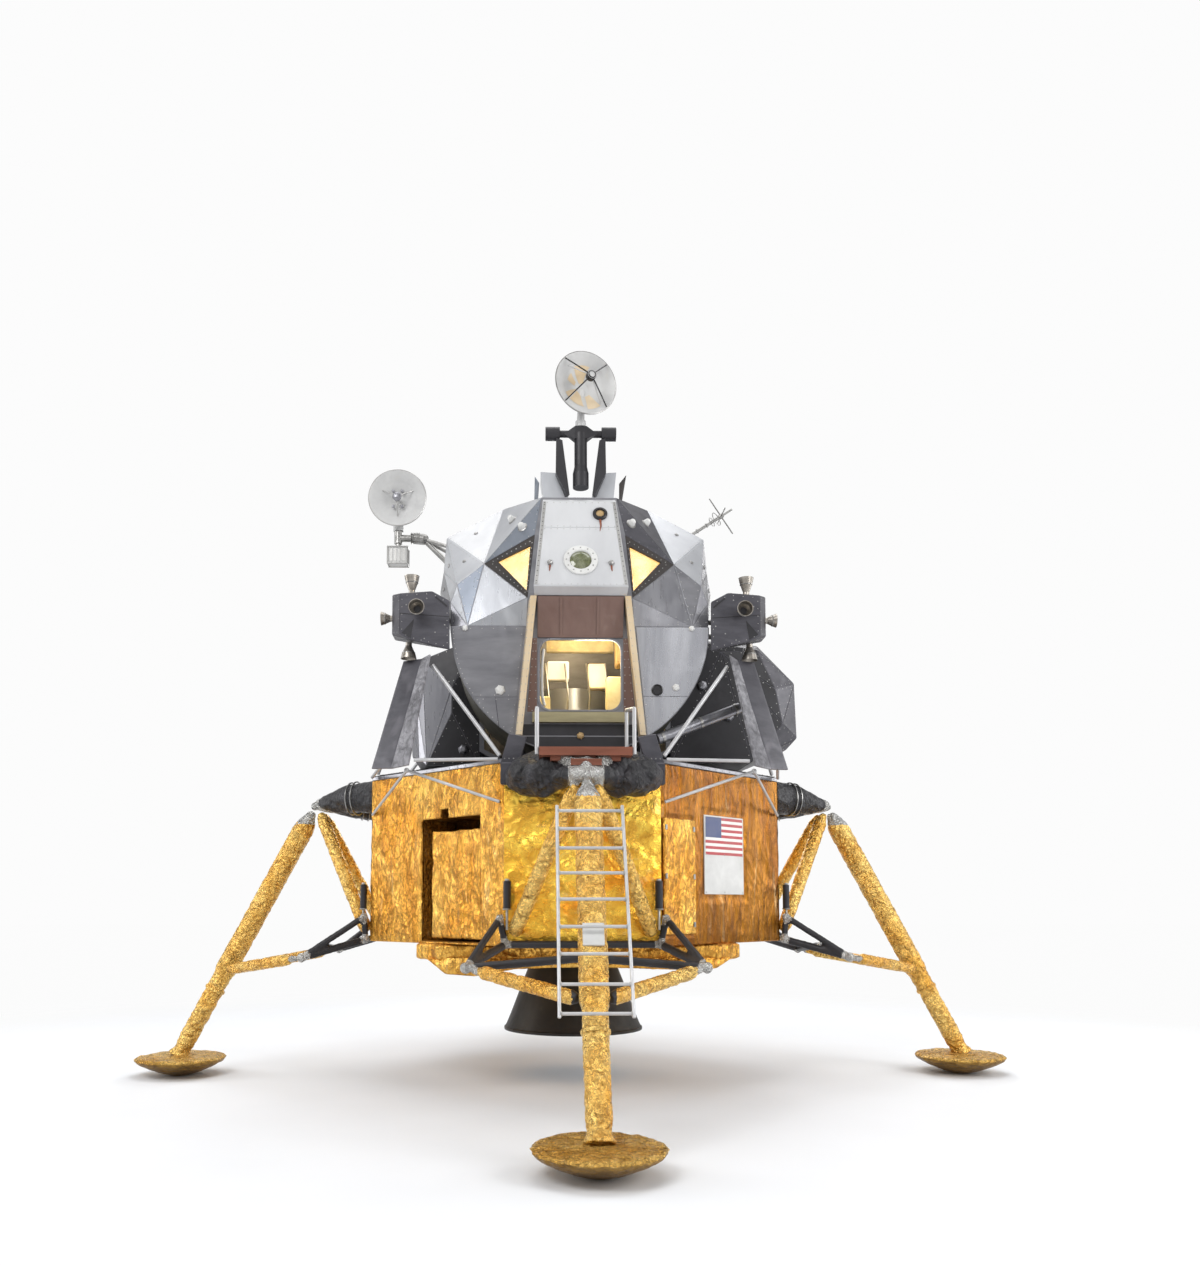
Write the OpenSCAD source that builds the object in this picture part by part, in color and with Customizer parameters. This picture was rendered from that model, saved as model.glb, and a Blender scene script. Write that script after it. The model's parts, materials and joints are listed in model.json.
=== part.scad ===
// Two-stage crewed lunar lander standing on its four legs.
// +Z is up, -Y is the front (hatch, porch and ladder leg), the origin is on the floor under the centre line.

/* [Landing gear] */
// Distance from the centre line to each footpad's centre
gear_r = 4230; // [4150:5:4300]
// Diameter of a footpad
pad_d = 940; // [900:5:960]
// Height of the footpad rim
pad_h = 165; // [150:1:180]
// Distance from the centre line to each outrigger's tip
tip_r = 2817; // [2780:1:2850]
// Height of each outrigger's tip
tip_z = 2906; // [2880:1:2920]
// Radius of a main strut's wrapped outer cylinder
strut_r = 108; // [95:1:115]
// Radius of a main strut's inner cylinder
piston_r = 92; // [80:1:94]

/* [Lower stage] */
// Half the distance across the leg-side faces
flat_r = 2090; // [2080:1:2100]
// Half the width of a leg-side face
face_w = 700; // [695:1:705]
// Height of the underside of the lower stage
stage_bottom = 1455; // [1450:1:1460]
// Height of the top deck
stage_top = 3140; // [3135:1:3145]
// Radius of the hole in the base shield round the engine bell
base_hole_r = 660; // [640:5:680]

/* [Descent engine] */
// Height of the gimbal axes
gimbal_z = 2080; // [2060:1:2100]
// Exit radius of the engine bell
bell_r = 735; // [720:1:745]
// Height of the bell's exit above the floor
bell_z = 489; // [480:1:520]

/* [Upper stage] */
// Height of the crew cabin's centre line
cabin_z = 4430; // [4425:1:4435]
// Outer radius of the crew cabin
cabin_r = 1220; // [1215:1:1225]
// Thickness of the cabin's panels
wall = 50; // [40:1:60]
// Half width of the front hatch opening
hatch_w = 390; // [380:1:395]
// Height of the front hatch's sill
hatch_z0 = 3640; // [3635:1:3645]
// Height of the front hatch's head
hatch_z1 = 4318; // [4300:1:4320]
// Radius of the docking tunnel's inside
tunnel_r = 406; // [400:1:410]

/* [Open positions] */
// How far the front hatch stands open, swinging inward
hatch_open = 88; // [60:1:90]
// Turn of the rendezvous radar dish towards +X
radar_yaw = 17; // [0:1:25]
// Turn of the steerable dish towards -X
dish_yaw = 0; // [0:1:10]

/* [Hidden] */
$fn = 48;

S = sqrt(2) / 2;
LEGS = [0, 90, 180, 270];           // the front leg (-Y) is 0
QUADS = [[-1, -1], [1, -1], [-1, 1], [1, 1]];
face_d = (flat_r + face_w) * S;      // centre line to a diagonal face

// ---- helpers ----
module rod(a, b, r1, r2 = -1) {
  v = b - a; l = norm(v);
  translate(a) rotate([0, acos(v[2] / l), atan2(v[1], v[0])])
    cylinder(h = l, r1 = r1, r2 = r2 < 0 ? r1 : r2);
}
// a turned bar from a to b; pr lists [fraction of the length, radius]
module lathe(a, b, pr) {
  v = b - a; l = norm(v);
  translate(a) rotate([0, acos(v[2] / l), atan2(v[1], v[0])]) rotate_extrude()
    polygon(concat([[0, pr[0][0] * l]], [for (p = pr) [p[1], p[0] * l]], [[0, pr[len(pr) - 1][0] * l]]));
}
// a bar between two ball joints, stopping just clear of each ball
module link(a, b, r, ra, rb) {
  u = (b - a) / norm(b - a);
  rod(a + (ra + 1) * u, b - (rb + 1) * u, r);
}
module hullrod(a, b, r1, r2, n = 20) hull() { translate(a) sphere(r = r1, $fn = n); translate(b) sphere(r = r2, $fn = n); }
module hullpts(p) hull() polyhedron(points = p, faces = [for (i = [0:len(p) - 3]) [i, i + 1, i + 2]]);
module extrude_y(y0, y1) translate([0, y1, 0]) rotate([90, 0, 0]) linear_extrude(y1 - y0) children();
module box(lo, hi) translate(lo) cube(hi - lo);
module each_leg() for (a = LEGS) rotate([0, 0, a]) children();
module each_quad() for (q = QUADS) scale_quad(q) children();
module scale_quad(q) mirror([q[0] < 0 ? 1 : 0, 0, 0]) mirror([0, q[1] > 0 ? 1 : 0, 0]) children();
function tip() = [0, -tip_r, tip_z];
function strut_at(z) = [0, -(tip_r + (tip_z - z) / (tip_z - 250) * (gear_r - tip_r)), z];

// ---- lower stage ----
function octagon(f, w) = [[w, -f], [f, -w], [f, w], [w, f], [-w, f], [-f, w], [-f, -w], [-w, -f]];
// the diagonal face to the front left, as a frame: x along the face from its left corner, y inward, z up
module left_face() translate([-flat_r, -face_w, 0]) rotate([0, 0, -45]) children();
module right_face() translate([face_w, -flat_r, 0]) rotate([0, 0, 45]) children();

module stage_body() color("goldenrod") difference() {
  translate([0, 0, stage_bottom]) linear_extrude(stage_top - 45 - stage_bottom) polygon(octagon(flat_r, face_w));
  box([-685, -685, stage_bottom - 10], [685, 685, 2860]);
  left_face() box([815, -10, 1480], [1667, 430, 2645]);
  left_face() translate([1158, -10, 2640]) { box([-58, 0, 0], [58, 430, 92]); translate([0, 0, 92]) rotate([-90, 0, 0]) cylinder(r = 58, h = 430); }
}
module stage_deck() color("dimgray") translate([0, 0, stage_top - 45]) linear_extrude(45) polygon(octagon(flat_r + 3, face_w + 3));
module base_shield() color("darkgoldenrod") difference() {
  translate([0, 0, 1300]) linear_extrude(155) polygon(octagon(1560, 1330));
  translate([0, 0, 1290]) cylinder(r = base_hole_r, h = 200);
}
// an outrigger's two blanketed arms and its tip fitting
module outrigger() difference() {
  union() {
    for (s = [-1, 1]) {
      hullrod([s * 500, -2060, 2952], [s * 330, -2360, 2950], 176, 160);
      hullrod([s * 330, -2360, 2950], [s * 70, -2755, 2912], 160, 66);
    }
    hullrod([-80, -2765, 2912], [80, -2765, 2912], 60, 60);
    hullrod([0, -2740, 2912], [0, -2830, 2900], 52, 44);
  }
  box([-800, -flat_r - 4, 2500], [800, 0, 3300]);
}
module outriggers() color("darkslategray") difference() {
  each_leg() outrigger();
  box([-400, -2710, 3070], [400, -2080, 3250]);
  box([-306, -2646, 3034], [306, -2194, 3090]);
  box([-136, -2766, 2979], [136, -2554, 3050]);
}
module outrigger_braces() color("gold") each_leg() for (s = [-1, 1])
  lathe([s * 88, -2752, 2812], [s * 612, -2158, 1560], [[0, 34], [0.08, 64], [0.95, 64], [1, 44]]);
module main_struts() color("gold") each_leg()
  lathe(strut_at(2838), strut_at(244), [[0, 36], [0.058, 104], [0.07, strut_r], [0.66, strut_r], [0.685, piston_r], [0.965, piston_r], [0.985, 62], [1, 24]]);
module secondary_struts() color("gold") each_leg() for (s = [-1, 1])
  lathe([s * 118, -3698, 1131], [s * 938, -2794, 1290], [[0, 34], [0.06, 55], [0.88, 55], [0.9, 34], [1, 30]]);
TA = [1000, -2730, 1300]; TC = [735, -2162, 1700]; TB = [690, -2150, 1470]; TM = [0, -2730, 1385];
module deployment_trusses() color("dimgray") each_leg() {
  for (s = [-1, 1]) mirror([s < 0 ? 1 : 0, 0, 0]) {
    translate(TA) sphere(r = 50);
    translate(TC) sphere(r = 42);
    translate(TB) sphere(r = 42);
    link(TA, TC, 32, 50, 42);
    link(TA, TB, 38, 50, 42);
    link(TB, TC, 32, 42, 42);
    link(TA, TM, 37, 50, 42);
  }
  translate(TM) sphere(r = 42);
  link(TB, [-TB[0], TB[1], TB[2]], 34, 42, 42);
}
module gear_springs() color("darkslategray") each_leg() for (s = [-1, 1]) rod([s * 672, -2180, 1790], [s * 672, -2180, 2030], 34);
module footpad() rotate_extrude($fn = 72) polygon([[0, 0], [90, 0], [200, 32], [340, 88], [440, 142], [pad_d / 2, pad_h + 12],
  [pad_d / 2 - 3, pad_h + 26], [440, 200], [340, 208], [220, 214], [130, 220], [90, 222], [84, 200], [0, 196]]);
module footpads() color("goldenrod") each_leg() translate([0, -gear_r, 0]) footpad();

// ---- ladder and porch ----
LT = [0, -3195, 2600];  // top and bottom of the ladder's plane
LB = [0, -4012, 1030];
function on_ladder(t) = LT + t * (LB - LT);
module ladder_rails() color("silver") for (s = [-1, 1]) rod([s * 258, -3195, 2600], [s * 262, -4012, 1030], 13);
module ladder_rungs() color("silver") for (i = [0:8]) union() {
  p = on_ladder(lookup(i, [[0, 0.026], [1, 0.12], [2, 0.219], [3, 0.343], [4, 0.47], [5, 0.599], [6, 0.723], [7, 0.857], [8, 0.983]]));
  rod(p + [-243, 0, 0], p + [243, 0, 0], 12.7);
  if (i % 3 == 1) for (s = [-1, 1]) rod(p + [s * 55, 0, 0], p + [s * 55, 84, 0], 9);
}
module strut_plate() color("silver") translate(strut_at(1545)) rotate([-28, 0, 0]) box([-80, -strut_r - 22, -90], [80, -strut_r - 2, 90]);
module porch_floor() color("sienna") union() {
  box([-393, -2700, 3078], [393, -2097, 3150]);
  box([-393, -2100, 3143], [393, -1800, 3150]);
  box([-300, -2640, 3040], [300, -2200, 3078]);
  box([-130, -2760, 2985], [130, -2560, 3040]);
}
module porch_rail(s) union() {
  rod([s * 412, -2670, 3090], [s * 412, -2670, 3480], 17);
  translate([s * 412, -2670, 3480]) sphere(r = 17);
  rod([s * 412, -2670, 3480], [s * 412, -1975, 3600], 17);
  translate([s * 412, -1975, 3600]) sphere(r = 17);
  rod([s * 412, -1975, 3600], [s * 412, -1975, 3143], 17);
}
module porch_rails() color("antiquewhite") for (s = [-1, 1]) porch_rail(s);

// ---- deflectors ----
T = [[1677, -1573, 4140], [1486, -1700, 4135], [1402, -1827, 4145]];
B = [[1935, -1784, 3080], [1728, -1970, 3058], [1560, -2116, 3070]];
module slab(a, b, c, d, n) hullpts([a, b, c, d, a + n, b + n, c + n, d + n]);
module plume_deflectors() color("dimgray") each_quad() union() {
  slab(T[0], T[1], B[1], B[0], [-16, 16, 0]);
  slab(T[1], T[2], B[2], B[1], [-16, 16, 0]);
}
module deflector_struts() color("silver") each_quad() union() {
  rod([1385, -1770, 4060], [745, -2035, 3168], 19);
  rod([1516, -2080, 3120], [762, -2092, 3130], 16);
  rod([1610, -1832, 3060], [745, -2085, 2745], 14);
  rod([1610, -1832, 3060], [2085, -745, 2745], 14);
  rod([1860, -1718, 3120], [2092, -762, 3130], 16);
  rod([1560, -1566, 4050], [2035, -745, 3168], 19);
  translate([1610, -1832, 3060]) sphere(r = 24);
}
// ---- lower-stage equipment ----
module equipment_pallet() color("gold") left_face() union() {
  box([950, 0, 1518], [1650, 300, 2525]);
  translate([950, 25, 1512]) rotate([0, 90, 0]) cylinder(r = 14, h = 700);
}
module sign_plate() color("white") right_face() box([655, -9, 1922], [1310, -1, 2672]);
module stowage_cover() color("gold") right_face() box([20, -34, 1552], [480, -2, 2610]);
module landing_radar() color("gray") union() {
  box([620, 1130, 1125], [1130, 1560, 1235]);
  box([700, 1480, 1235], [760, 1550, 1262]);
  box([990, 1480, 1235], [1050, 1550, 1262]);
  translate([690, 1515, 1262]) rotate([0, 90, 0]) cylinder(r = 16, h = 370);
}
module radar_brackets() color("silver") { box([640, 1495, 1256], [684, 1535, 1298]); box([1066, 1495, 1256], [1110, 1535, 1298]); }
// ---- descent engine on its two-axis gimbal ----
module engine_mount() color("silver") difference() {
  union() {
    for (s = [-1, 1]) {
      box([s > 0 ? 425 : -684, -60, gimbal_z - 60], [s > 0 ? 684 : -425, 60, gimbal_z + 60]);
      rod([s * 600, 0, gimbal_z + 40], [s * 630, 0, 2855], 34);
    }
  }
  translate([-700, 0, gimbal_z]) rotate([0, 90, 0]) cylinder(r = 24, h = 1400);
}
module gimbal_ring() color("gray") union() {
  translate([0, 0, gimbal_z]) difference() {
    translate([0, 0, -38]) cylinder(r = 400, h = 76, $fn = 72);
    translate([0, 0, -50]) cylinder(r = 345, h = 100, $fn = 72);
    rotate([90, 0, 0]) translate([0, 0, -500]) cylinder(r = 20.5, h = 1000);
  }
  for (s = [-1, 1]) rod([s * 395, 0, gimbal_z], [s * 560, 0, gimbal_z], 23.5);
}
BELL = [[150, 2010], [133, 1960], [160, 1880], [235, 1720], [330, 1500], [430, 1250], [530, 1000], [628, 740], [700, 560], [bell_r, bell_z]];
module descent_engine() color("dimgray") union() {
  rotate_extrude($fn = 96) polygon(concat(BELL, [[bell_r + 12, bell_z], [bell_r + 12, bell_z + 26], [bell_r - 2, bell_z + 34]],
    [for (i = [8:-1:0]) BELL[i] + [14, 4]], [[235, 2010], [250, 2040], [250, 2480], [190, 2560], [190, 2660], [0, 2660], [0, 2480], [150, 2480]]));
  for (s = [-1, 1]) rod([0, s * 248, gimbal_z], [0, s * 392, gimbal_z], 20);
}
// ---- crew cabin ----
cab_y0 = -1750;
cab_y1 = -640;
// the lower cabin is a half cylinder with a flat front
module cabin_low(t) extrude_y(cab_y0 + t, cab_y1 + (t > 0 ? 10 : 0)) intersection() {
  translate([0, cabin_z + 10]) circle(r = cabin_r - t, $fn = 96);
  translate([-1500, 3000]) square([3000, cabin_z + 10 + (t > 0 ? 1 : 0) - 3000]);
}
// corners of the upper cabin's facets, right side first; each row is the corner and the way in from it
CP = [
  [[1060, -1750, 4440], [0, 1, 0]],         // 0 fan's foot on the crease
  [[1217, -1700, 4440], [-1, 0.7, 0]],      // 1 end of the crease
  [[1232, -1620, 4700], [-1, 0.5, 0]],      // 2 cheek
  [[1172, -1600, 4885], [-1, 0.7, -0.3]],   // 3 cheek
  [[915, -1600, 5090], [-0.5, 0.9, -0.3]],  // 4 window's outer corner
  [[497, -1750, 4715], [0, 1, 0]],          // 5 window's lower corner
  [[428, -1750, 5325], [-0.2, 1, 0]],       // 6 window's top corner
  [[360, -1580, 5758], [-0.5, 1, -0.9]],    // 7 top of the nose
  [[750, -800, 5945], [-0.5, 0, -1]],       // 8 roof edge
  [[1338, -800, 5635], [-0.9, 0, -0.6]],    // 9 shoulder
  [[1368, -800, 5270], [-1, 0, 0]],         // 10 side
  [[1402, -800, 5050], [-1, 0, 0]],         // 11 side, lowest bulge
  [[1240, -800, 4440], [-1, 0, 0]],         // 12 side at the crease
  [[750, -640, 5945], [-0.5, 0, -1]],       // 13 to 17: the same profile at the back
  [[1338, -640, 5635], [-0.9, 0, -0.6]],
  [[1368, -640, 5270], [-1, 0, 0]],
  [[1402, -640, 5050], [-1, 0, 0]],
  [[1240, -640, 4440], [-1, 0, 0]]];
NC = len(CP);
function cab_pts(t, cut) = [for (s = [1, -1], c = CP) let (p = c[0] + t * c[1]) [s * p[0], p[1] + (cut && c[0][1] == -640 ? 10 : 0), p[2] - (cut && c[0][2] == 4440 ? 10 : 0)]];
// facets of the right half, seen from outside, clockwise
CF = [[5, 6, 4], [6, 7, 4], [7, 8, 4], [8, 9, 4], [9, 3, 4], [9, 10, 3], [10, 2, 3], [10, 11, 2], [11, 1, 2], [11, 12, 1],
  [5, 4, 0], [4, 3, 0], [3, 2, 0], [2, 1, 0], [8, 13, 9], [13, 14, 9], [9, 14, 10], [14, 15, 10], [10, 15, 11], [15, 16, 11], [11, 16, 12], [16, 17, 12]];
N2 = NC;
CM = [[0, N2, 5], [N2, N2 + 5, 5], [5, N2 + 5, 6], [N2 + 5, N2 + 6, 6], [6, N2 + 6, 7], [N2 + 6, N2 + 7, 7], [7, N2 + 7, 8], [N2 + 7, N2 + 8, 8],
  [8, N2 + 8, 13], [N2 + 8, N2 + 13, 13],
  [13, N2 + 13, 14], [N2 + 13, N2 + 14, 14], [14, N2 + 14, 15], [N2 + 14, N2 + 15, 15], [15, N2 + 15, 16], [N2 + 15, N2 + 16, 16], [16, N2 + 16, 17], [N2 + 16, N2 + 17, 17],
  [17, N2 + 17, 12], [N2 + 17, N2 + 12, 12], [12, N2 + 12, 1], [N2 + 12, N2 + 1, 1], [1, N2 + 1, 0], [N2 + 1, N2, 0]];
module cabin_up(t, cut = false) polyhedron(points = cab_pts(t, cut), faces = concat(CF, [for (f = CF) [f[2] + N2, f[1] + N2, f[0] + N2]], CM));
crease = 4440;
// front hatch outline
module hatch_shape(g) translate([-hatch_w - g + 110, hatch_z0 - g + 110]) minkowski_round(2 * (hatch_w + g) - 220, hatch_z1 - hatch_z0 + 2 * g - 220, 110);
module minkowski_round(w, h, r) union() {
  translate([-r, 0]) square([w + 2 * r, h]);
  translate([0, -r]) square([w, h + 2 * r]);
  for (x = [0, w], y = [0, h]) translate([x, y]) circle(r);
}
module front_panel() color("lightgray") difference() {
  intersection() { cabin_low(0); box([-1500, -1900, 3000], [1500, cab_y0 + wall, crease]); }
  extrude_y(-1900, -1600) hatch_shape(0);
}
WT = CP[6][0]; WB = CP[5][0]; WO = CP[4][0];
WN = cross(WB - WT, WO - WT) / norm(cross(WB - WT, WO - WT));
function win(k) = let (g = [[0.80, 0.14, 0.06], [0.09, 0.88, 0.03], [0.19, 0.09, 0.72]], q = [for (r = g) r[0] * WT + r[1] * WB + r[2] * WO], c = (q[0] + q[1] + q[2]) / 3) [for (p = q) c + k * (p - c)];
module window_cut(k, d0, d1) hullpts(concat([for (p = win(k)) p + d0 * WN], [for (p = win(k)) p + d1 * WN]));
module window_panels() color("lightsteelblue") difference() {
  cabin_up(0);
  cabin_up(wall, true);
  box([-2000, -1560, 4000], [2000, 0, 7000]);
  window_cut(1, -160, 160);
  mirror([1, 0, 0]) window_cut(1, -160, 160);
}
module cabin_shoulders() color("silver") difference() {
  cabin_up(0);
  cabin_up(wall, true);
  box([-2000, -2500, 4000], [2000, -1559, 7000]);
}
module window_glass() color("khaki") { window_cut(0.985, -30, -18); mirror([1, 0, 0]) window_cut(0.985, -30, -18); }
module cabin_barrel() color("silver") difference() {
  cabin_low(0);
  cabin_low(wall);
  box([-1500, -1900, 3000], [1500, cab_y0 + wall + 1, 4500]);
}
// two splayed beams beside the hatch
module hatch_sill() color("olive") box([-450, -1812, 3520], [450, -1753, 3616]);
module front_beams() color("gainsboro") for (s = [-1, 1]) hullpts([[s * 545, -1752, 3385], [s * 612, -1752, 3385], [s * 545, -1905, 3385], [s * 600, -1905, 3385],
  [s * 412, -1752, 4690], [s * 485, -1752, 4690], [s * 412, -1905, 4690], [s * 468, -1905, 4690]]);
// the nose between the windows, over the hatch
module nose_panel() color("white") difference() {
  hullpts([for (s = [-1, 1], p = [[440, -1950, 4765], [352, -1640, 5700], [345, -1562, 5752], [425, -1700, 4765], [345, -1500, 5752], [432, -1880, 4700]]) [s * p[0], p[1], p[2]]]);
  cabin_up(-2);
}
// the sloped panel over the hatch, between the beams
module hatch_hood() color("saddlebrown") hullpts([for (s = [-1, 1], p = [[402, -1753, 4335], [402, -1760, 4335], [402, -1753, 4690], [402, -1893, 4690]]) [s * p[0], p[1], p[2]]]);
module nose_horns() color("white") difference() {
  for (s = [-1, 1]) hullpts([[s * 372, -1466, 6062], [s * 190, -1466, 6050], [s * 128, -1466, 5800], [s * 342, -1466, 5770],
    [s * 372, -1200, 6030], [s * 210, -1200, 6020], [s * 190, -1200, 5800], [s * 342, -1200, 5800]]);
  cabin_up(-3);
}
// front hatch, drawn shut and then swung inward about its hinge
hinge = [-435, -1662];
module front_hatch() color("lightyellow") translate([hinge[0], hinge[1], 0]) rotate([0, 0, hatch_open]) translate([-hinge[0], -hinge[1], 0]) union() {
  extrude_y(-1692, -1645) hatch_shape(14);
  for (z = [3760, 4140]) {
    translate([hinge[0], hinge[1], z]) cylinder(r = 13, h = 90);
    box([hinge[0], hinge[1] - 5, z + 5], [-395, hinge[1] + 8, z + 85]);
  }
}
module cabin_floor() color("tan") box([-738, -1690, 3545], [738, -645, 3585]);
module instrument_panels() color("dimgray") union() {
  hullpts([for (s = [-1, 1], p = [[400, -1600, 4420], [400, -1560, 4420], [420, -1690, 5150], [420, -1640, 5150]]) [s * p[0], p[1], p[2]]]);
}
module mid_outline(t) polygon([for (s = [1, -1], p = s > 0 ? MO : [for (i = [len(MO) - 1:-1:0]) MO[i]]) [s * (p[0] + t * p[2]), p[1] + t * p[3]]]);
MO = [[750, 5945, -0.4, -1], [1338, 5635, -0.9, -0.6], [1368, 5270, -1, 0], [1402, 5050, -1, 0], [1240, 4702, -1, 0.4], [1000, 4690, -1, 0.4], [1000, 3420, -1, 0.4], [700, 3252, -0.4, 1]];
module midsection() color("silver") difference() {
  extrude_y(cab_y1 + 1, 690) mid_outline(0);
  extrude_y(cab_y1 - 10, 700) mid_outline(wall);
  translate([0, 0, 5800]) cylinder(r = tunnel_r + 34, h = 300, $fn = 72);
}
module aft_bulkhead() color("khaki") extrude_y(655, 688) mid_outline(wall + 3);
module engine_cover() color("tan") translate([0, 60, 3305]) cylinder(r = 400, h = 850, $fn = 72);
module docking_tunnel() color("gray") translate([0, 0, 5835]) difference() {
  union() { cylinder(r = tunnel_r + 33, h = 300, $fn = 72); translate([0, 0, 262]) cylinder(r = tunnel_r + 58, h = 38, $fn = 72); }
  translate([0, 0, -5]) cylinder(r = tunnel_r, h = 320, $fn = 72);
}
module overhead_hatch() color("lightyellow") union() {
  translate([0, 0, 5765]) cylinder(r = tunnel_r + 20, h = 60, $fn = 72);
  for (x = [-150, 90]) { box([x, 380, 5770], [x + 60, 475, 5790]); translate([x, 475, 5780]) rotate([0, 90, 0]) cylinder(r = 14, h = 60); }
}
module aft_bay() color("dimgray") hullpts([for (s = [-1, 1], p = [[980, 692, 3450], [1180, 692, 4720], [1250, 692, 5380], [900, 692, 5760],
  [900, 1900, 3560], [1060, 1960, 4200], [1060, 1960, 4900], [760, 1640, 5560], [600, 1500, 5640], [820, 1960, 5180], [700, 1500, 3360]]) [s * p[0], p[1], p[2]]]);
module tank_bay(p) hullpts([for (s = [-1, 1], q = p) [q[0], s * q[1] + 20, q[2]]]);
module right_tank_bay() color("dimgray") tank_bay([[1003, 640, 4640], [1540, 640, 4490], [1936, 600, 4519], [2125, 600, 4104], [2195, 600, 3734], [1865, 620, 3331], [1003, 640, 3290],
  [2000, 300, 4640], [2400, 300, 4226], [2420, 300, 3630], [2300, 300, 3500], [1400, 300, 4680]]);
module left_tank_bay() color("silver") mirror([1, 0, 0]) tank_bay([[1003, 640, 4640], [1620, 480, 4430], [1670, 440, 3930], [1290, 640, 4100], [1290, 640, 3830], [1650, 430, 3370], [1560, 520, 3290],
  [1003, 640, 3290], [1720, 250, 4400], [1770, 250, 3950], [1740, 250, 3420], [1640, 250, 3270]]);
// the open frame between the two stages
module interstage_skirt() color("dimgray") for (s = [-1, 1]) {
  hullpts([[s * 560, -1745, 3145], [s * 700, -1600, 3145], [s * 560, -1745, 3330], [s * 660, -1500, 3330], [s * 460, -1500, 3145], [s * 480, -1500, 3215]]);
  hullpts([[s * 600, 1500, 3145], [s * 700, 1300, 3145], [s * 560, 1480, 3350], [s * 640, 1300, 3350], [s * 450, 1400, 3145], [s * 450, 1400, 3320]]);
  box([s > 0 ? 560 : -680, -300, 3142], [s > 0 ? 680 : -560, 300, 3248]);
}
// ---- reaction control quads, at the four corners ----
module thruster_housings() color("gray") each_quad() hullpts([[1230, -1820, 4660], [1390, -1820, 4748], [1690, -1820, 4725], [1690, -1820, 4340], [1600, -1820, 4292], [1225, -1820, 4200],
  [1782, -1640, 4765], [1782, -1640, 4385], [1782, -1440, 4765], [1782, -1440, 4385], [1420, -1430, 4785], [1330, -1420, 4640], [1310, -1430, 4330], [1640, -1560, 4345]]);
module thruster_booms() color("silver") for (sx = [-1, 1]) {
  for (z = [4420, 4560]) {
    rod([sx * 1270, 1500, z], [sx * 1130, 1500, z], 26);
    rod([sx * 1272, -1560, z - 20], [sx * 1252, -1560, z - 20], 26);
  }
}
module nozzle(l = 175, r = 72) rotate_extrude() polygon([[0, 0], [30, 0], [30, 0.2 * l], [r - 12, 0.68 * l], [r, l], [r - 6, l], [r - 18, 0.68 * l], [18, 0.28 * l], [0, 0.28 * l]]);
module thruster_nozzles() color("silver") each_quad() {
  translate([1600, -1640, 4776]) nozzle();
  translate([1625, -1640, 4306]) mirror([0, 0, 1]) nozzle(155, 76);
  translate([1784, -1600, 4550]) rotate([0, 90, 0]) nozzle(110, 66);
  translate([1520, -1822, 4560]) rotate([90, 0, 0]) nozzle(150, 74);
}
// ---- rendezvous radar ----
RA = [20, -1520, 6420];  // centre of the radar's horizontal shaft
module radar_pedestal() color("dimgray") for (s = [-1, 1]) union() {
  translate(RA) difference() {
    rod([s * 205, 0, 0], [s * 345, 0, 0], 66);
    rod([s * 190, 0, 0], [s * 300, 0, 0], 36);
  }
  translate(RA) hullpts([[s * 240, -45, -58], [s * 180, -45, -80], [s * 240, 45, -58], [s * 180, 45, -80], [s * 245, -45, -400], [s * 245, 45, -400], [s * 150, 45, -620], [s * 110, -30, -620], [s * 130, -45, -640], [s * 130, 45, -620]]);
}
module radar_shaft() color("dimgray") translate(RA) union() {
  rod([-285, 0, 0], [285, 0, 0], 34);
  hullpts([for (s = [-1, 1], p = [[165, -40, -15], [165, 40, 20], [55, -50, 62], [55, 50, 62], [60, 50, -62], [60, -50, -62]]) [s * p[0], p[1], p[2]]]);
  rod([0, 0, 0], [0, 0, -330], 62);
  rod([0, 0, -330], [0, 0, -400], 62, 78);
  rod([0, 0, -400], [0, 0, -540], 78);
}
module radar_dish() color("white") translate(RA) rotate([0, 0, radar_yaw]) union() {
  translate([0, 0, 68]) cylinder(r = 52, h = 58);
  rod([0, 0, 110], [0, -30, 430], 38, 30);
  translate([0, -58, 445]) rotate([90, 0, 0]) difference() {
    rotate_extrude($fn = 72) polygon([[0, -40], [60, -38], [200, 22], [305, 92], [312, 88], [312, 100], [300, 104], [195, 38], [60, -22], [0, -24]]);
  }
  translate([0, -58, 445]) rotate([90, 0, 0]) translate([0, 0, 215]) cylinder(r = 42, h = 55);
  for (a = [45:90:315]) translate([0, -58, 445]) rotate([90, 0, 0]) rod([0.12 * 312 * cos(a) * 1.0, 36 * sin(a), 220], [240 * cos(a), 240 * sin(a), 56], 6);
}
// ---- steerable antenna on its boom, to the left ----
SA = [-1990, 300, 6010];  // crossing point of the antenna's two axes
module antenna_boom() color("silver") union() {
  rod([-1810, 300, 6030], [-1700, 300, 6020], 62);
  rod([-1700, 300, 6020], [-1330, 300, 5650], 30);
  rod([-1700, 300, 6020], [-1180, 100, 5800], 22);
  rod([-1700, 300, 6020], [-1180, 500, 5800], 22);
  translate([-1700, 300, 6020]) sphere(r = 62);
}
module antenna_gimbal() color("white") union() {
  rod([-1990, 300, 6030], [-1815, 300, 6030], 40);
  rod([-1990, 300, 5965], [-1990, 300, 6108], 46);
}
module antenna_dish() color("white") union() {
  translate([-1990, 300, 6112]) cylinder(r = 58, h = 60);
  rod([-1990, 300, 6170], [-1990, 262, 6450], 34, 26);
  translate([-1990, 250, 6460]) rotate([90, 0, 0]) rotate_extrude($fn = 72) polygon([[0, -30], [60, -28], [210, 20], [322, 70], [330, 66], [330, 80], [318, 82], [205, 34], [60, -12], [0, -14]]);
  translate([-1990, 250, 6460]) rotate([90, 0, 0]) rod([0, 0, -14], [0, 0, 120], 34);
}
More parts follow.
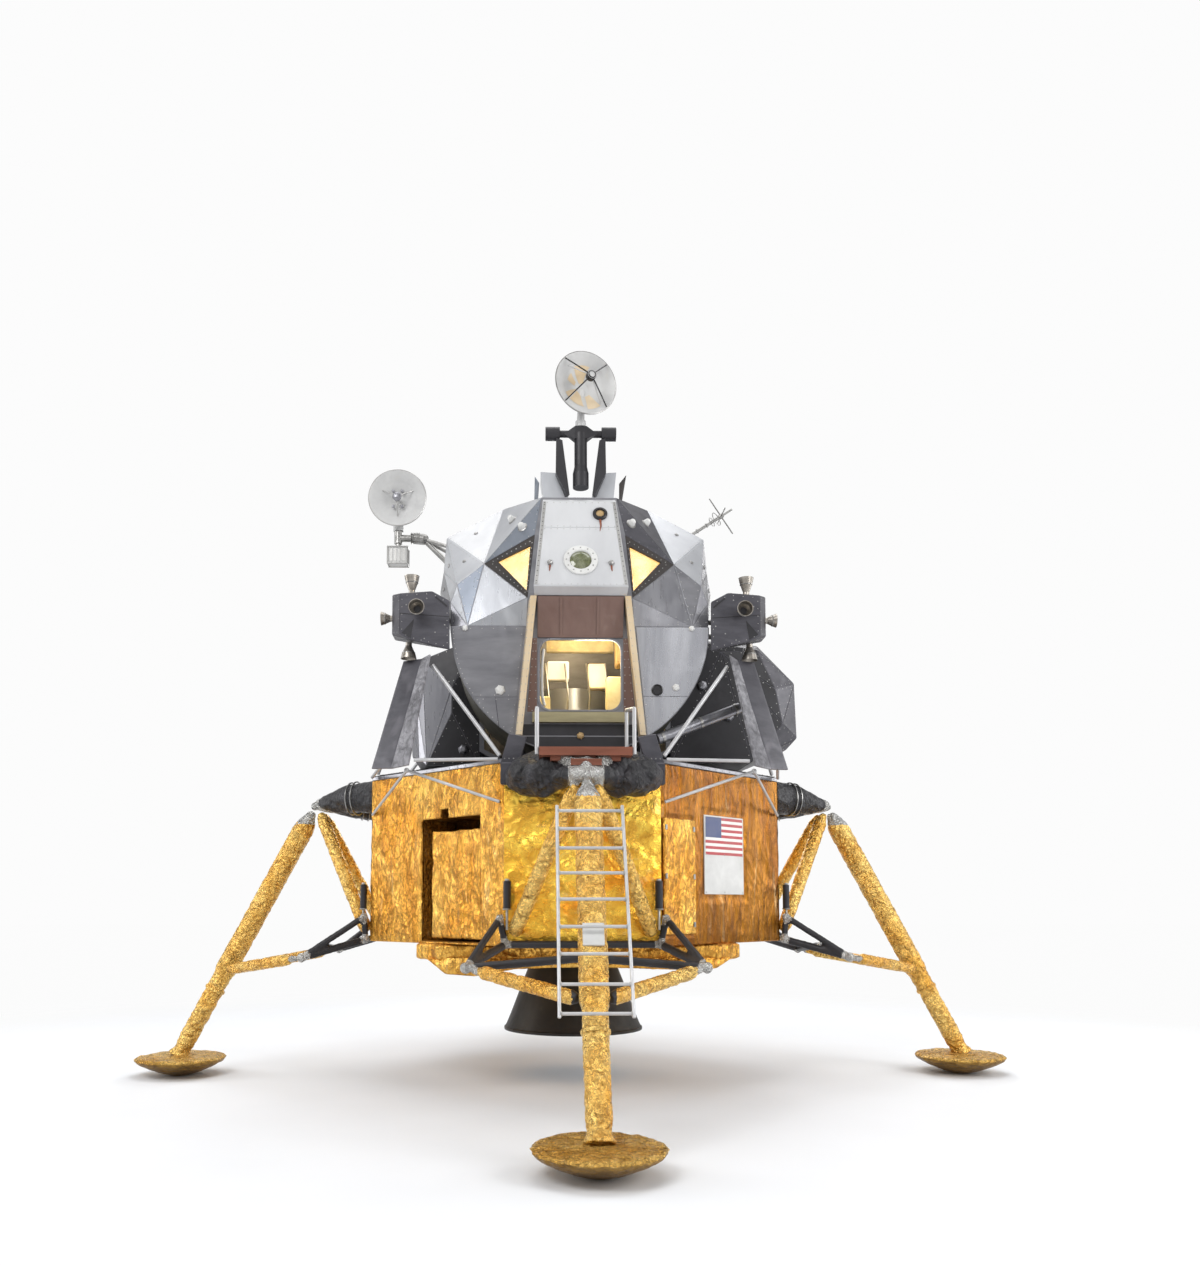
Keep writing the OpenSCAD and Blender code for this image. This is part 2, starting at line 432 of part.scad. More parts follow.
module vhf_antennas() color("silver") {
  for (q = [[1, 1190, -420, 5772], [-1, 800, 1200, 5762]]) union() {
    a = [q[0] * q[1], q[2], q[3]]; b = a + [q[0] * 410, 0, 265];
    rod(a, b, 18);
    rod(b - 230 * [0.545 * q[0], 0, -0.839], b + 230 * [0.545 * q[0], 0, -0.839], 7);
    rod(b - [0, 230, 0], b + [0, 230, 0], 7);
    rod(b, b + [q[0] * 120, 0, 78], 12);
  }
}
module umbilical_tube() color("rosybrown") rod([728, -1700, 3378], [1546, -1500, 3719], 52);

stage_body();
stage_deck();
base_shield();
outriggers();
outrigger_braces();
main_struts();
secondary_struts();
deployment_trusses();
gear_springs();
footpads();
ladder_rails();
ladder_rungs();
strut_plate();
porch_floor();
porch_rails();
plume_deflectors();
deflector_struts();
equipment_pallet();
sign_plate();
stowage_cover();
landing_radar();
radar_brackets();
engine_mount();
gimbal_ring();
descent_engine();
front_panel();
window_panels();
cabin_shoulders();
cabin_barrel();
window_glass();
front_beams();
hatch_sill();
nose_panel();
hatch_hood();
nose_horns();
front_hatch();
cabin_floor();
instrument_panels();
midsection();
aft_bulkhead();
engine_cover();
docking_tunnel();
overhead_hatch();
aft_bay();
left_tank_bay();
right_tank_bay();
interstage_skirt();
thruster_housings();
thruster_booms();
thruster_nozzles();
radar_pedestal();
radar_shaft();
radar_dish();
antenna_boom();
antenna_gimbal();
antenna_dish();
vhf_antennas();
umbilical_tube();
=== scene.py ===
import bpy, bmesh, math, json
import numpy as np
from mathutils import Vector, Matrix

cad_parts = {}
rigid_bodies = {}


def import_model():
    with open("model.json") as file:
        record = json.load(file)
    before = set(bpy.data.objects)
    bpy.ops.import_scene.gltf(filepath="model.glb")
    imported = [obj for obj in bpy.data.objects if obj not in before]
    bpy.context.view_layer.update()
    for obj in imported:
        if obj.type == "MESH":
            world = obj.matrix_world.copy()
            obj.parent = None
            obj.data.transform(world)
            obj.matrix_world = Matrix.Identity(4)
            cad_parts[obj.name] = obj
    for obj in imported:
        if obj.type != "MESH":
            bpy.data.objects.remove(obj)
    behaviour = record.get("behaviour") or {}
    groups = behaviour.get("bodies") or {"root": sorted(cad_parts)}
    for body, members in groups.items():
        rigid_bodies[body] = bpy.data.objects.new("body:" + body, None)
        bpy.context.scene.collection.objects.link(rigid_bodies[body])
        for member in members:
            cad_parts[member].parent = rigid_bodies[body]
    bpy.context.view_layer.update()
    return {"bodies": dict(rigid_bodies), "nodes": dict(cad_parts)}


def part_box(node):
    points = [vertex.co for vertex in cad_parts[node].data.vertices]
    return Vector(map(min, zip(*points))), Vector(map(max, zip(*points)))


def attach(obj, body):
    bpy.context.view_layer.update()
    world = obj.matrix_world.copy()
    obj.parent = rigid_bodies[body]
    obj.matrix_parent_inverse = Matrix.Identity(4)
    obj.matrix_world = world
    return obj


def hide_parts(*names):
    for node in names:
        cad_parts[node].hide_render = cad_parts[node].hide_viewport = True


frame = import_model()
N = frame["nodes"]
scene = bpy.context.scene

# ------------------------------------------------------------------ camera
cam_data = bpy.data.cameras.new("camera")
cam = bpy.data.objects.new("camera", cam_data)
scene.collection.objects.link(cam)
cam.location = (-0.4677, -11.233, 1.8096)
cam.rotation_euler = (math.pi / 2 + 0.07, 0, -0.0192)
cam_data.sensor_width = 36
cam_data.lens = 29.105
cam_data.shift_x = 0.0396
cam_data.shift_y = 0.1596
cam_data.clip_end = 400
scene.camera = cam
scene.view_settings.view_transform = "Standard"


# ------------------------------------------------------------------ materials
def lin(c):
    if isinstance(c, str):
        c = [int(c[i:i + 2], 16) / 255 for i in (0, 2, 4)]
    return tuple((x / 12.92 if x <= 0.04045 else ((x + 0.055) / 1.055) ** 2.4) for x in c) + (1.0,)


class M:
    """A node material being made."""

    def __init__(self, name, rough=0.5, metal=0.0, **sockets):
        self.m = bpy.data.materials.new(name)
        self.m.use_nodes = True
        self.nt = self.m.node_tree
        self.b = self.nt.nodes["Principled BSDF"]
        self.b.inputs["Roughness"].default_value = rough
        self.b.inputs["Metallic"].default_value = metal
        for k, v in sockets.items():
            self.b.inputs[k.replace("_", " ")].default_value = v
        self.tc = self.nt.nodes.new("ShaderNodeTexCoord")
        self.h = None

    def node(self, kind, ins=None, **props):
        n = self.nt.nodes.new(kind)
        for k, v in props.items():
            setattr(n, k, v)
        for k, v in (ins or {}).items():
            if isinstance(v, bpy.types.NodeSocket):
                self.nt.links.new(v, n.inputs[k])
            else:
                n.inputs[k].default_value = v
        return n

    def vec(self, scale=(1, 1, 1), rot=(0, 0, 0)):
        return self.node("ShaderNodeMapping", {"Vector": self.tc.outputs["Object"], "Scale": scale, "Rotation": rot}).outputs[0]

    def noise(self, scale, detail=4, dist=0.0, rough=0.55, vec=None, kind="FBM"):
        n = self.node("ShaderNodeTexNoise", {"Vector": vec or self.tc.outputs["Object"]}, noise_type=kind)
        n.inputs["Scale"].default_value = scale
        n.inputs["Detail"].default_value = detail
        n.inputs["Distortion"].default_value = dist
        n.inputs["Roughness"].default_value = rough
        return n.outputs["Fac"]

    def voronoi(self, scale, warp=0.12, vec=None, feature="F1", wscale=None):
        base = vec or self.tc.outputs["Object"]
        nz = self.node("ShaderNodeTexNoise", {"Vector": base, "Scale": wscale or scale * 0.5, "Detail": 3})
        mx = self.node("ShaderNodeMix", {0: warp, 4: base, 5: nz.outputs["Color"]}, data_type="VECTOR")
        v = self.node("ShaderNodeTexVoronoi", {"Vector": mx.outputs[1], "Scale": scale}, feature=feature)
        return v.outputs["Distance"]

    def ramp(self, fac, stops):
        r = self.node("ShaderNodeValToRGB", {"Fac": fac})
        e = r.color_ramp.elements
        while len(e) < len(stops):
            e.new(0.5)
        for s, (p, c) in zip(e, stops):
            s.position = p
            s.color = lin(c) if not isinstance(c, float) else (c, c, c, 1)
        return r.outputs["Color"]

    def mixc(self, fac, a, b, mode="MIX"):
        x = self.node("ShaderNodeMix", data_type="RGBA", blend_type=mode)
        for i, v in ((0, fac), (6, a), (7, b)):
            if isinstance(v, bpy.types.NodeSocket):
                self.nt.links.new(v, x.inputs[i])
            else:
                x.inputs[i].default_value = lin(v) if isinstance(v, str) else v
        return x.outputs[2]

    def math(self, op, a, b=0.0, clamp=False):
        return self.node("ShaderNodeMath", {0: a, 1: b}, operation=op, use_clamp=clamp).outputs[0]

    def color(self, c):
        if isinstance(c, bpy.types.NodeSocket):
            self.nt.links.new(c, self.b.inputs["Base Color"])
        else:
            self.b.inputs["Base Color"].default_value = lin(c)

    def rough(self, s):
        self.nt.links.new(s, self.b.inputs["Roughness"])

    def bump(self, height, strength=0.5, dist=0.01):
        n = self.node("ShaderNodeBump", {"Height": height, "Strength": strength, "Distance": dist})
        if self.h is not None:
            self.nt.links.new(self.h, n.inputs["Normal"])
        self.h = n.outputs["Normal"]
        self.nt.links.new(self.h, self.b.inputs["Normal"])


def foil(name, light, dark, painted_crease_shade, rough=0.3, bump=0.8, stretch=(1, 1, 1), metal=0.85, fine=1.0, streak=(1, 1, 0.25), painted_reflection=None):
    """Crinkled film: broad colour drift, painted shade in the creases, painted highlights on the fold tops and, when
    given, painted reflection patches; creases that run into each other, and fine wrinkles along one way.
    """
    a = M(name, rough, metal)
    v = a.vec(stretch)
    st = a.vec(streak)
    c = a.ramp(a.noise(1.7, 4, 0.9, 0.6, v), [(0.36, dark), (0.6, light)])
    # painted reflection: streaked patches of this colour over the foil
    if painted_reflection:
        c = a.mixc(a.ramp(a.noise(2.3, 5, 1.4, 0.6, st), [(0.5, 0.0), (0.66, 0.8)]), c, painted_reflection)
    fs = a.noise(9 * fine, 7, 1.3, 0.68, st)
    fm_ = a.noise(24 * fine, 5, 1.2, 0.65, v)
    v1 = a.voronoi(7 * fine, 0.35, v, wscale=4 * fine)
    v2 = a.voronoi(19 * fine, 0.22, v, wscale=9 * fine)
    # painted shade: the crease colour laid into the low folds and along the crumple cells
    c = a.mixc(a.ramp(fs, [(0.30, 0.35), (0.42, 0.0)]), c, painted_crease_shade)
    c = a.mixc(a.ramp(v2, [(0.35, 0.0), (0.75, 0.5)]), c, painted_crease_shade)
    # painted highlight: pale cream on the gold metal foils and the light colour on the rest, over the fold tops
    c = a.mixc(a.ramp(fs, [(0.58, 0.0), (0.75, 0.3)]), c, "FFF0C0" if metal > 0.5 and name.startswith("gold") else light)
    a.color(c)
    a.rough(a.math("ADD", a.math("MULTIPLY", a.noise(14, 4, 0.4, vec=st), 0.26), rough - 0.15))
    a.bump(v1, bump, 0.055)
    a.bump(v2, bump, 0.024)
    a.bump(fs, bump, 0.035)
    a.bump(fm_, bump * 0.7, 0.008)
    return a.m


def paint(name, light, dark=None, rough=0.5, metal=0.0, scale=3.0, brushed=None, bump=0.12, wear=None, spots=None):
    a = M(name, rough, metal)
    v = a.vec(brushed) if brushed else None
    c = a.ramp(a.noise(scale, 6, 0.3, 0.62, v), [(0.32, dark or light), (0.68, light)])
    if wear:
        c = a.mixc(a.ramp(a.noise(scale * 3.1, 8, 0.2, 0.7), [(0.6, 0.0), (0.72, 0.8)]), c, wear)
    if spots:
        c = a.mixc(a.ramp(a.noise(scale * 1.3, 2, 1.0, 0.5), [(0.6, 0.0), (0.75, 0.55)]), c, spots)
    a.color(c)
    a.rough(a.math("ADD", a.math("MULTIPLY", a.noise(scale * 6, 5, vec=v), 0.24), rough - 0.12))
    a.bump(a.noise(scale * 18, 5, 0.2, 0.6, v), bump, 0.002)
    a.bump(a.noise(scale * 0.9, 3, 0.4), bump * 1.6, 0.012)
    return a.m


MAT = {
    "gold_front": foil("gold_front", "FFD85C", "FFCA48", "BE761C", 0.28, 0.5, (0.7, 1, 0.7), fine=0.8, streak=(0.55, 1, 0.8), painted_reflection="FF9A1E"),
    "gold_diag": foil("gold_diag", "F9C662", "E5A23A", "7E440E", 0.25, 0.7, (1, 1, 0.5), streak=(1, 1, 0.16)),
    # front-right diagonal: a smoother, more streaked gold, darkened as painted shade on the side away from the light
    "gold_shaded_right": foil("gold_shaded_right", "B4781F", "985C14", "5E300A", 0.26, 0.4, (1, 1, 0.3), fine=0.8, streak=(1, 1, 0.12)),
    "gold_wrap": foil("gold_wrap", "FFD980", "F6BC56", "86520F", 0.28, 0.8, (1, 1, 1), fine=1.3, streak=(1, 1, 0.8)),
    # footpad bowl: smoother gold, darker than gold_padtop as painted shade under the rim
    "gold_pad": foil("gold_pad", "B08A48", "8A6832", "5A3C18", 0.36, 0.35, (1, 1, 1.6), fine=1.0, streak=(1, 1, 2.0)),
    "gold_padtop": foil("gold_padtop", "F6CC74", "D6A248", "74501A", 0.30, 1.0, (1, 1, 1), fine=1.5, streak=(1, 1, 1)),
    # darkened gold for the stage body's bays and underside: painted shade
    "gold_dark": foil("gold_dark", "B87A26", "6A4212", "1A0E04", 0.42, 1.0, fine=1.6),
    "silver_foil": foil("silver_foil", "EDEDEA", "C6C4C0", "6C6A66", 0.26, 0.9, fine=2.6),
    "black_blanket": foil("black_blanket", "323135", "1D1C20", "0C0C0E", 0.42, 0.9, metal=0.1, fine=0.8, painted_reflection="4A494E"),
    "black_smooth": paint("black_smooth", "2F2E32", "1E1D20", 0.45, 0.2, 2.5, bump=0.3),
    "charcoal": paint("charcoal", "55545A", "3D3C42", 0.42, 0.45, 2.4, (1, 1, 3), 0.2, spots="6C6A70"),
    "charcoal_matt": paint("charcoal_matt", "5C5B60", "46454A", 0.6, 0.2, 2.2, bump=0.15),
    "cloth_grey": foil("cloth_grey", "96959A", "6C6B70", "333236", 0.5, 0.8, metal=0.2, fine=0.8),
    "grey_panel": paint("grey_panel", "86868A", "6F6F74", 0.36, 0.55, 1.6, (1, 1, 4), 0.10, spots="98989D"),
    "grey_blue": paint("grey_blue", "878D97", "6A707A", 0.32, 0.65, 1.6, (1, 1, 0.5), 0.12, spots="5F6672"),
    "light_panel": paint("light_panel", "BFC1C5", "A9ABB0", 0.34, 0.5, 1.5, (1, 1, 0.5), 0.10),
    "white_panel": paint("white_panel", "CBCCCE", "B9BABD", 0.40, 0.25, 1.5, (1, 1, 0.5), 0.08, spots="C2C4C8"),
    "mid_panel": paint("mid_panel", "9A9A9F", "7D7D83", 0.30, 0.7, 1.6, (3, 1, 0.35), 0.12, spots="B2B2B7"),
    # lighter grey for the left side's fan facets: painted light
    "fan_lit_left": paint("fan_lit_left", "A9ABAF", "96989D", 0.3, 0.6, 1.5, (3, 1, 0.35), 0.10, spots="C4C6CA"),
    # brighter plate for the right half of the nose disc: painted highlight
    "disc_painted_highlight": paint("disc_painted_highlight", "BDBEC3", "93949A", 0.28, 0.8, 1.2, (2.5, 1, 0.3), 0.08, spots="C0C1C6"),
    "frame_black": paint("frame_black", "2B2320", "171313", 0.62, 0.0, 5.0, bump=0.1),
    "thin_silver": paint("thin_silver", "C6C6C7", "ACACAE", 0.38, 0.35, 3.0, bump=0.02),
    "brown_paint": paint("brown_paint", "80685F", "6A5149", 0.5, 0.15, 3.0, (1, 1, 0.4), 0.12, spots="8F7A72"),
    "brown_red": paint("brown_red", "8E5540", "6A3A28", 0.45, 0.1, 5.0, (0.25, 1, 2), 0.08),
    "beige_pink": paint("beige_pink", "CDB9B0", "BCA59B", 0.45, 0.15, 3.0, (1, 1, 0.3), 0.1),
    "cream": paint("cream", "D8C6A8", "C6B08E", 0.45, 0.15, 3.0, (1, 1, 0.3), 0.1),
    "olive": paint("olive", "4C493E", "33312A", 0.5, 0.3, 2.5, bump=0.14),
    "sill_olive": paint("sill_olive", "A39A78", "7D7558", 0.45, 0.2, 4.0, (0.3, 1, 3), 0.12),
    "bare": paint("bare", "BFBEBC", "9B9A98", 0.34, 0.6, 5.0, (1, 1, 0.3), 0.03),
    "steel": paint("steel", "A9A8A6", "7D7C7A", 0.32, 0.9, 7.0, bump=0.2),
    "dark_metal": paint("dark_metal", "3E3C3E", "29282A", 0.4, 0.6, 5.0, bump=0.2),
    "nozzle_in": paint("nozzle_in", "6A625A", "453F3A", 0.4, 0.85, 6.0, bump=0.2),
    "nozzle_rcs": paint("nozzle_rcs", "B4AEA6", "7E7870", 0.32, 0.85, 9.0, bump=0.12, spots="5E564C"),
    "bell": paint("bell", "3A3733", "262422", 0.5, 0.4, 3.0, (1, 1, 0.4), 0.12, spots="45403A"),
    "white_paint": paint("white_paint", "DADAD8", "C6C6C4", 0.4, 0.0, 4.0, bump=0.06),
    "dish_white": paint("dish_white", "C9C9C8", "B5B5B5", 0.5, 0.1, 3.5, bump=0.04, spots="BFBDB8"),
    "tan": paint("tan", "B79A6C", "9C7F54", 0.5, 0.1, 8.0, bump=0.2),
    "black_gloss": paint("black_gloss", "232225", "161517", 0.25, 0.1, 6.0, bump=0.06),
    "red_brown_spot": paint("red_brown_spot", "8E4A2A", "6B3216", 0.5, 0.1, 8.0),
    "inside": paint("inside", "E8DDB8", "CDBB85", 0.6, 0.0, 4.0, bump=0.15, spots="B89A52"),
    "inside_dark": paint("inside_dark", "A89A78", "7E7256", 0.6, 0.0, 6.0, bump=0.2, spots="C7A94E"),
    "deck": foil("deck", "6A696C", "4B4A4D", "222224", 0.5, 0.9, metal=0.4, fine=0.8),
    "rubber": paint("rubber", "1C1B1D", "121113", 0.6, 0.0, 8.0, bump=0.15),
    "flag_blue": paint("flag_blue", "3A4F8C", "2E4078", 0.4, 0.0, 6.0, bump=0.05),
}


def glow(name, c, strength, base="FFE2A0", alpha=1.0):
    a = M(name, 0.15, 0.0)
    a.color(a.ramp(a.noise(4, 4), [(0.3, base), (0.7, c)]))
    a.b.inputs["Emission Color"].default_value = lin(c)
    a.b.inputs["Emission Strength"].default_value = strength
    return a


# window glass: warm tinted, see-through, with slight waviness and a painted warm glow of its own
g = M("window_glass", 0.04, 0.0)
g.color(g.ramp(g.noise(3, 3), [(0.38, "F0BE6A"), (0.62, "FFF3D8")]))
g.b.inputs["Transmission Weight"].default_value = 0.72
g.b.inputs["IOR"].default_value = 1.3
# painted glow: warm emission in the glass, though it is no lamp
g.b.inputs["Emission Color"].default_value = lin("FFD98E")
g.b.inputs["Emission Strength"].default_value = 0.42
g.bump(g.noise(5, 3), 0.15, 0.01)
MAT["glass"] = g.m
g = M("lamp_lens", 0.1, 0.0)
g.color(g.ramp(g.voronoi(60), [(0.1, "3E4230"), (0.6, "6C7050")]))
g.b.inputs["Coat Weight"].default_value = 1.0
MAT["lens"] = g.m


# procedural striped plate: stripes and a plain blue block, nothing written
def striped(name, x0, x1, z0, z1):
    """Stripes across the face, in the plate's own generated coordinates."""
    a = M(name, 0.38, 0.0)
    sep = a.node("ShaderNodeSeparateXYZ", {"Vector": a.tc.outputs["Generated"]})
    u, w = sep.outputs[0], sep.outputs[2]
    k = a.math("FRACT", a.math("MULTIPLY", w, 6.5))
    st = a.math("GREATER_THAN", k, 0.5)
    col = a.mixc(st, "B3262E", "EDEAE6")
    blue = a.math("MULTIPLY", a.math("LESS_THAN", u, 0.42), a.math("GREATER_THAN", w, 0.46))
    col = a.mixc(blue, col, "2C3F73")
    col = a.mixc(a.ramp(a.noise(5, 4), [(0.35, 0.16), (0.7, 0.0)]), col, "8C8680")
    a.color(col)
    a.bump(a.noise(24, 3), 0.08, 0.003)
    return a.m


MAT["striped"] = striped("striped", 0, 1, 0, 1)


# ------------------------------------------------------------------ noise in numpy
_perm = np.random.RandomState(7).permutation(256)
_perm = np.concatenate([_perm, _perm])
_g = np.random.RandomState(11).normal(size=(256, 3))
_g /= np.linalg.norm(_g, axis=1)[:, None]


def perlin(P):
    P = np.asarray(P, float)
    i = np.floor(P).astype(int)
    f = P - i
    u = f * f * f * (f * (f * 6 - 15) + 10)
    i &= 255
    out = 0
    for dx in (0, 1):
        for dy in (0, 1):
            for dz in (0, 1):
                h = _perm[_perm[_perm[(i[:, 0] + dx) & 255] + ((i[:, 1] + dy) & 255)] + ((i[:, 2] + dz) & 255)]
                gr = _g[h]
                d = f - np.array([dx, dy, dz])
                w = (u[:, 0] if dx else 1 - u[:, 0]) * (u[:, 1] if dy else 1 - u[:, 1]) * (u[:, 2] if dz else 1 - u[:, 2])
                out = out + w * (gr * d).sum(1)
    return out * 1.6


def crumple(P, scale=4.0, octaves=4, seed=0.0, warp=0.35):
    """Creased sheet height in 0…1: sharp folds with slack between, as in hand-wrapped foil."""
    P = np.asarray(P, float) + seed * 17.31
    W = np.stack([perlin(P * scale * 0.6 + 9.1), perlin(P * scale * 0.6 + 33.7), perlin(P * scale * 0.6 + 71.3)], 1)
    P = P + W * warp / scale
    h, a, t = 0, 1.0, 0
    for o in range(octaves):
        h = h + a * (1 - np.abs(perlin(P * scale * 1.9 ** o + o * 5.7)) * 2.0)
        t += a
        a *= 0.52
    return np.clip(h / t, -0.4, 1.0) * 0.7 + 0.28


# ------------------------------------------------------------------ mesh helpers
def mesh_obj(name, verts, faces, mats, body="lander", fmat=None, smooth=True):
    me = bpy.data.meshes.new(name)
    me.from_pydata([tuple(map(float, v)) for v in verts], [], [tuple(int(i) for i in f) for f in faces])
    me.validate()
    me.update()
    for m in (mats if isinstance(mats, (list, tuple)) else [mats]):
        me.materials.append(MAT[m] if isinstance(m, str) else m)
    if fmat is not None and len(fmat) == len(me.polygons):
        me.polygons.foreach_set("material_index", np.asarray(fmat, np.int32))
    if smooth:
        me.polygons.foreach_set("use_smooth", [True] * len(me.polygons))
    o = bpy.data.objects.new(name, me)
    scene.collection.objects.link(o)
    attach(o, body)
    return o


class Build:
    """Collects many small solids into one mesh."""

    def __init__(self):
        self.v, self.f, self.m = [], [], []

    def add(self, v, f, m=0):
        k = len(self.v)
        self.v += [tuple(map(float, p)) for p in v]
        for q in f:
            self.f.append([i + k for i in q])
            self.m.append(m)

    def lathe(self, p, d, prof, m=0, seg=16, closed=True):
        """Turns a profile (r, h) about direction d from point p."""
        p, d = Vector(p), Vector(d).normalized()
        a = d.orthogonal().normalized()
        b = d.cross(a)
        v, f = [], []
        for r, h in prof:
            for s in range(seg):
                t = 2 * math.pi * s / seg
                v.append(p + d * h + (a * math.cos(t) + b * math.sin(t)) * r)
        n = len(prof)
        for i in range(n - 1):
            for s in range(seg):
                t = (s + 1) % seg
                f.append([i * seg + s, i * seg + t, (i + 1) * seg + t, (i + 1) * seg + s])
        if closed:
            f.append([s for s in range(seg)][::-1])
            f.append([(n - 1) * seg + s for s in range(seg)])
        self.add(v, f, m)

    def rivet(self, p, d, r=0.006, h=0.0035, m=0, seg=8):
        self.lathe(p, d, [(r, -0.0005), (r * 0.93, h * 0.45), (r * 0.55, h * 0.9)], m, seg)

    def tube(self, pts, r, m=0, seg=10):
        pts = [Vector(p) for p in pts]
        up = None
        v, f = [], []
        for i, p in enumerate(pts):
            a = (pts[min(i + 1, len(pts) - 1)] - pts[max(i - 1, 0)]).normalized()
            if up is None:
                up = a.orthogonal().normalized()
            up = (up - a * up.dot(a)).normalized()
            w = a.cross(up)
            rr = r[i] if isinstance(r, (list, tuple)) else r
            for s in range(seg):
                t = 2 * math.pi * s / seg
                v.append(p + (up * math.cos(t) + w * math.sin(t)) * rr)
        for i in range(len(pts) - 1):
            for s in range(seg):
                t = (s + 1) % seg
                f.append([i * seg + s, i * seg + t, (i + 1) * seg + t, (i + 1) * seg + s])
        f.append([s for s in range(seg)][::-1])
        f.append([(len(pts) - 1) * seg + s for s in range(seg)])
        self.add(v, f, m)

    def prism(self, poly, n, t, m=0, bevel=0.0):
        """Polygon (3-D points, flat) thickened along n by t, with a bevelled far edge."""
        poly = [Vector(p) for p in poly]
        n = Vector(n).normalized()
        c = sum(poly, Vector()) / len(poly)
        k = len(poly)
        rings = [poly]
        if bevel:
            rings.append([p + n * (t - bevel) for p in poly])
            rings.append([p + n * t + (c - p).normalized() * bevel * 1.4 for p in poly])
        else:
            rings.append([p + n * t for p in poly])
        v = [p for r in rings for p in r]
        f = [[i for i in range(k)][::-1]]
        for j in range(len(rings) - 1):
            for i in range(k):
                f.append([j * k + i, j * k + (i + 1) % k, (j + 1) * k + (i + 1) % k, (j + 1) * k + i])
        f.append([(len(rings) - 1) * k + i for i in range(k)])
        area = Vector()
        for i in range(k):
            area += (poly[i] - c).cross(poly[(i + 1) % k] - c)
        if area.dot(n) < 0:
            f = [q[::-1] for q in f]
        self.add(v, f, m)

    def box(self, c, s, m=0, bevel=0.006, rot=None):
        x, y, z = (q / 2 for q in s)
        R = rot or Matrix.Identity(3)
        P = [Vector(c) + R @ Vector((a, b, -z)) for a, b in ((-x, -y), (x, -y), (x, y), (-x, y))]
        bevel = min(bevel, x * 0.4, y * 0.4, z * 0.4)
        nn = R @ Vector((0, 0, 1))
        # three rings at each end give bevelled top and bottom edges
        cc = Vector(c)
        def ring(h, k):
            return [cc + R @ Vector((a * (x - k), b * (y - k), h)) for a, b in ((-1, -1), (1, -1), (1, 1), (-1, 1))]
        rings = [ring(-z, bevel), ring(-z + bevel, 0), ring(z - bevel, 0), ring(z, bevel)]
        v = [p for r in rings for p in r]
        f = [[3, 2, 1, 0]]
        for j in range(3):
            for i in range(4):
                f.append([j * 4 + i, j * 4 + (i + 1) % 4, (j + 1) * 4 + (i + 1) % 4, (j + 1) * 4 + i])
        f.append([12, 13, 14, 15])
        self.add(v, f, m)

    def make(self, name, mats, body="lander", smooth=False, slot=None, replaces=()):
        o = mesh_obj(name, self.v, self.f, mats, body, self.m, smooth)
        if smooth:
            o.data.set_sharp_from_angle(angle=math.radians(40))
        if replaces:
            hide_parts(*replaces)
        return o


def wrapped(node, mats, voxel=0.014, amp=0.006, scale=5.0, seed=0, pick=None, inward=0.4, smooth_it=3, stretch=(1, 1, 1), keep=None, octaves=4, shrink=0.0, name=None):
    """A hand-wrapped skin made from the CAD solid: evenly remeshed, then creased along its normals."""
    src = N[node]
    me = src.data.copy()
    o = bpy.data.objects.new((name or node) + "_wrap", me)
    scene.collection.objects.link(o)
    o.matrix_world = src.matrix_world.copy()
    md = o.modifiers.new("r", "REMESH")
    md.mode = "VOXEL"
    md.voxel_size = voxel
    md.use_smooth_shade = True
    dg = bpy.context.evaluated_depsgraph_get()
    me2 = bpy.data.meshes.new_from_object(o.evaluated_get(dg))
    o.modifiers.clear()
    o.data = me2
    bpy.data.meshes.remove(me)
    n = len(me2.vertices)
    co = np.zeros(n * 3)
    me2.vertices.foreach_get("co", co)
    co = co.reshape(-1, 3)
    ed = np.zeros(len(me2.edges) * 2, int)
    me2.edges.foreach_get("vertices", ed)
    ed = ed.reshape(-1, 2)
    cnt = np.bincount(ed.ravel(), minlength=n).astype(float)[:, None]
    for _ in range(smooth_it):
        s = np.zeros((n, 3))
        np.add.at(s, ed[:, 0], co[ed[:, 1]])
        np.add.at(s, ed[:, 1], co[ed[:, 0]])
        co = co * 0.45 + s / cnt * 0.55
    me2.vertices.foreach_set("co", co.ravel())
    me2.update()
    nr = np.zeros(n * 3)
    me2.vertices.foreach_get("normal", nr)
    nr = nr.reshape(-1, 3)
    h = crumple(co * np.array(stretch), scale, octaves, seed)
    a = amp * (h - inward)
    if keep is not None:
        a = a * keep(co)
    co = co + nr * (a - shrink)[:, None]
    me2.vertices.foreach_set("co", co.ravel())
    me2.materials.clear()
    for m in (mats if isinstance(mats, (list, tuple)) else [mats]):
        me2.materials.append(MAT[m])
    if pick is not None:
        c = np.zeros(len(me2.polygons) * 3)
        me2.polygons.foreach_get("center", c)
        nn = np.zeros(len(me2.polygons) * 3)
        me2.polygons.foreach_get("normal", nn)
        me2.polygons.foreach_set("material_index", np.asarray(pick(c.reshape(-1, 3), nn.reshape(-1, 3)), np.int32))
    else:
        me2.polygons.foreach_set("material_index", np.zeros(len(me2.polygons), np.int32))
    me2.polygons.foreach_set("use_smooth", [True] * len(me2.polygons))
    me2.update()
    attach(o, body_name(node))
    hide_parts(node)
    return o


def body_name(node):
    p = N[node].parent
    for b, o in frame["bodies"].items():
        if o is p:
            return b
    return "lander"


def paintnode(node, mat):
    o = N[node]
    for s in o.material_slots:
        s.material = MAT[mat] if isinstance(mat, str) else mat
    if not o.material_slots:
        o.data.materials.append(MAT[mat])


def fold(P):
    """Angle-free four-fold fold of points into the front-right quadrant."""
    return np.abs(P)

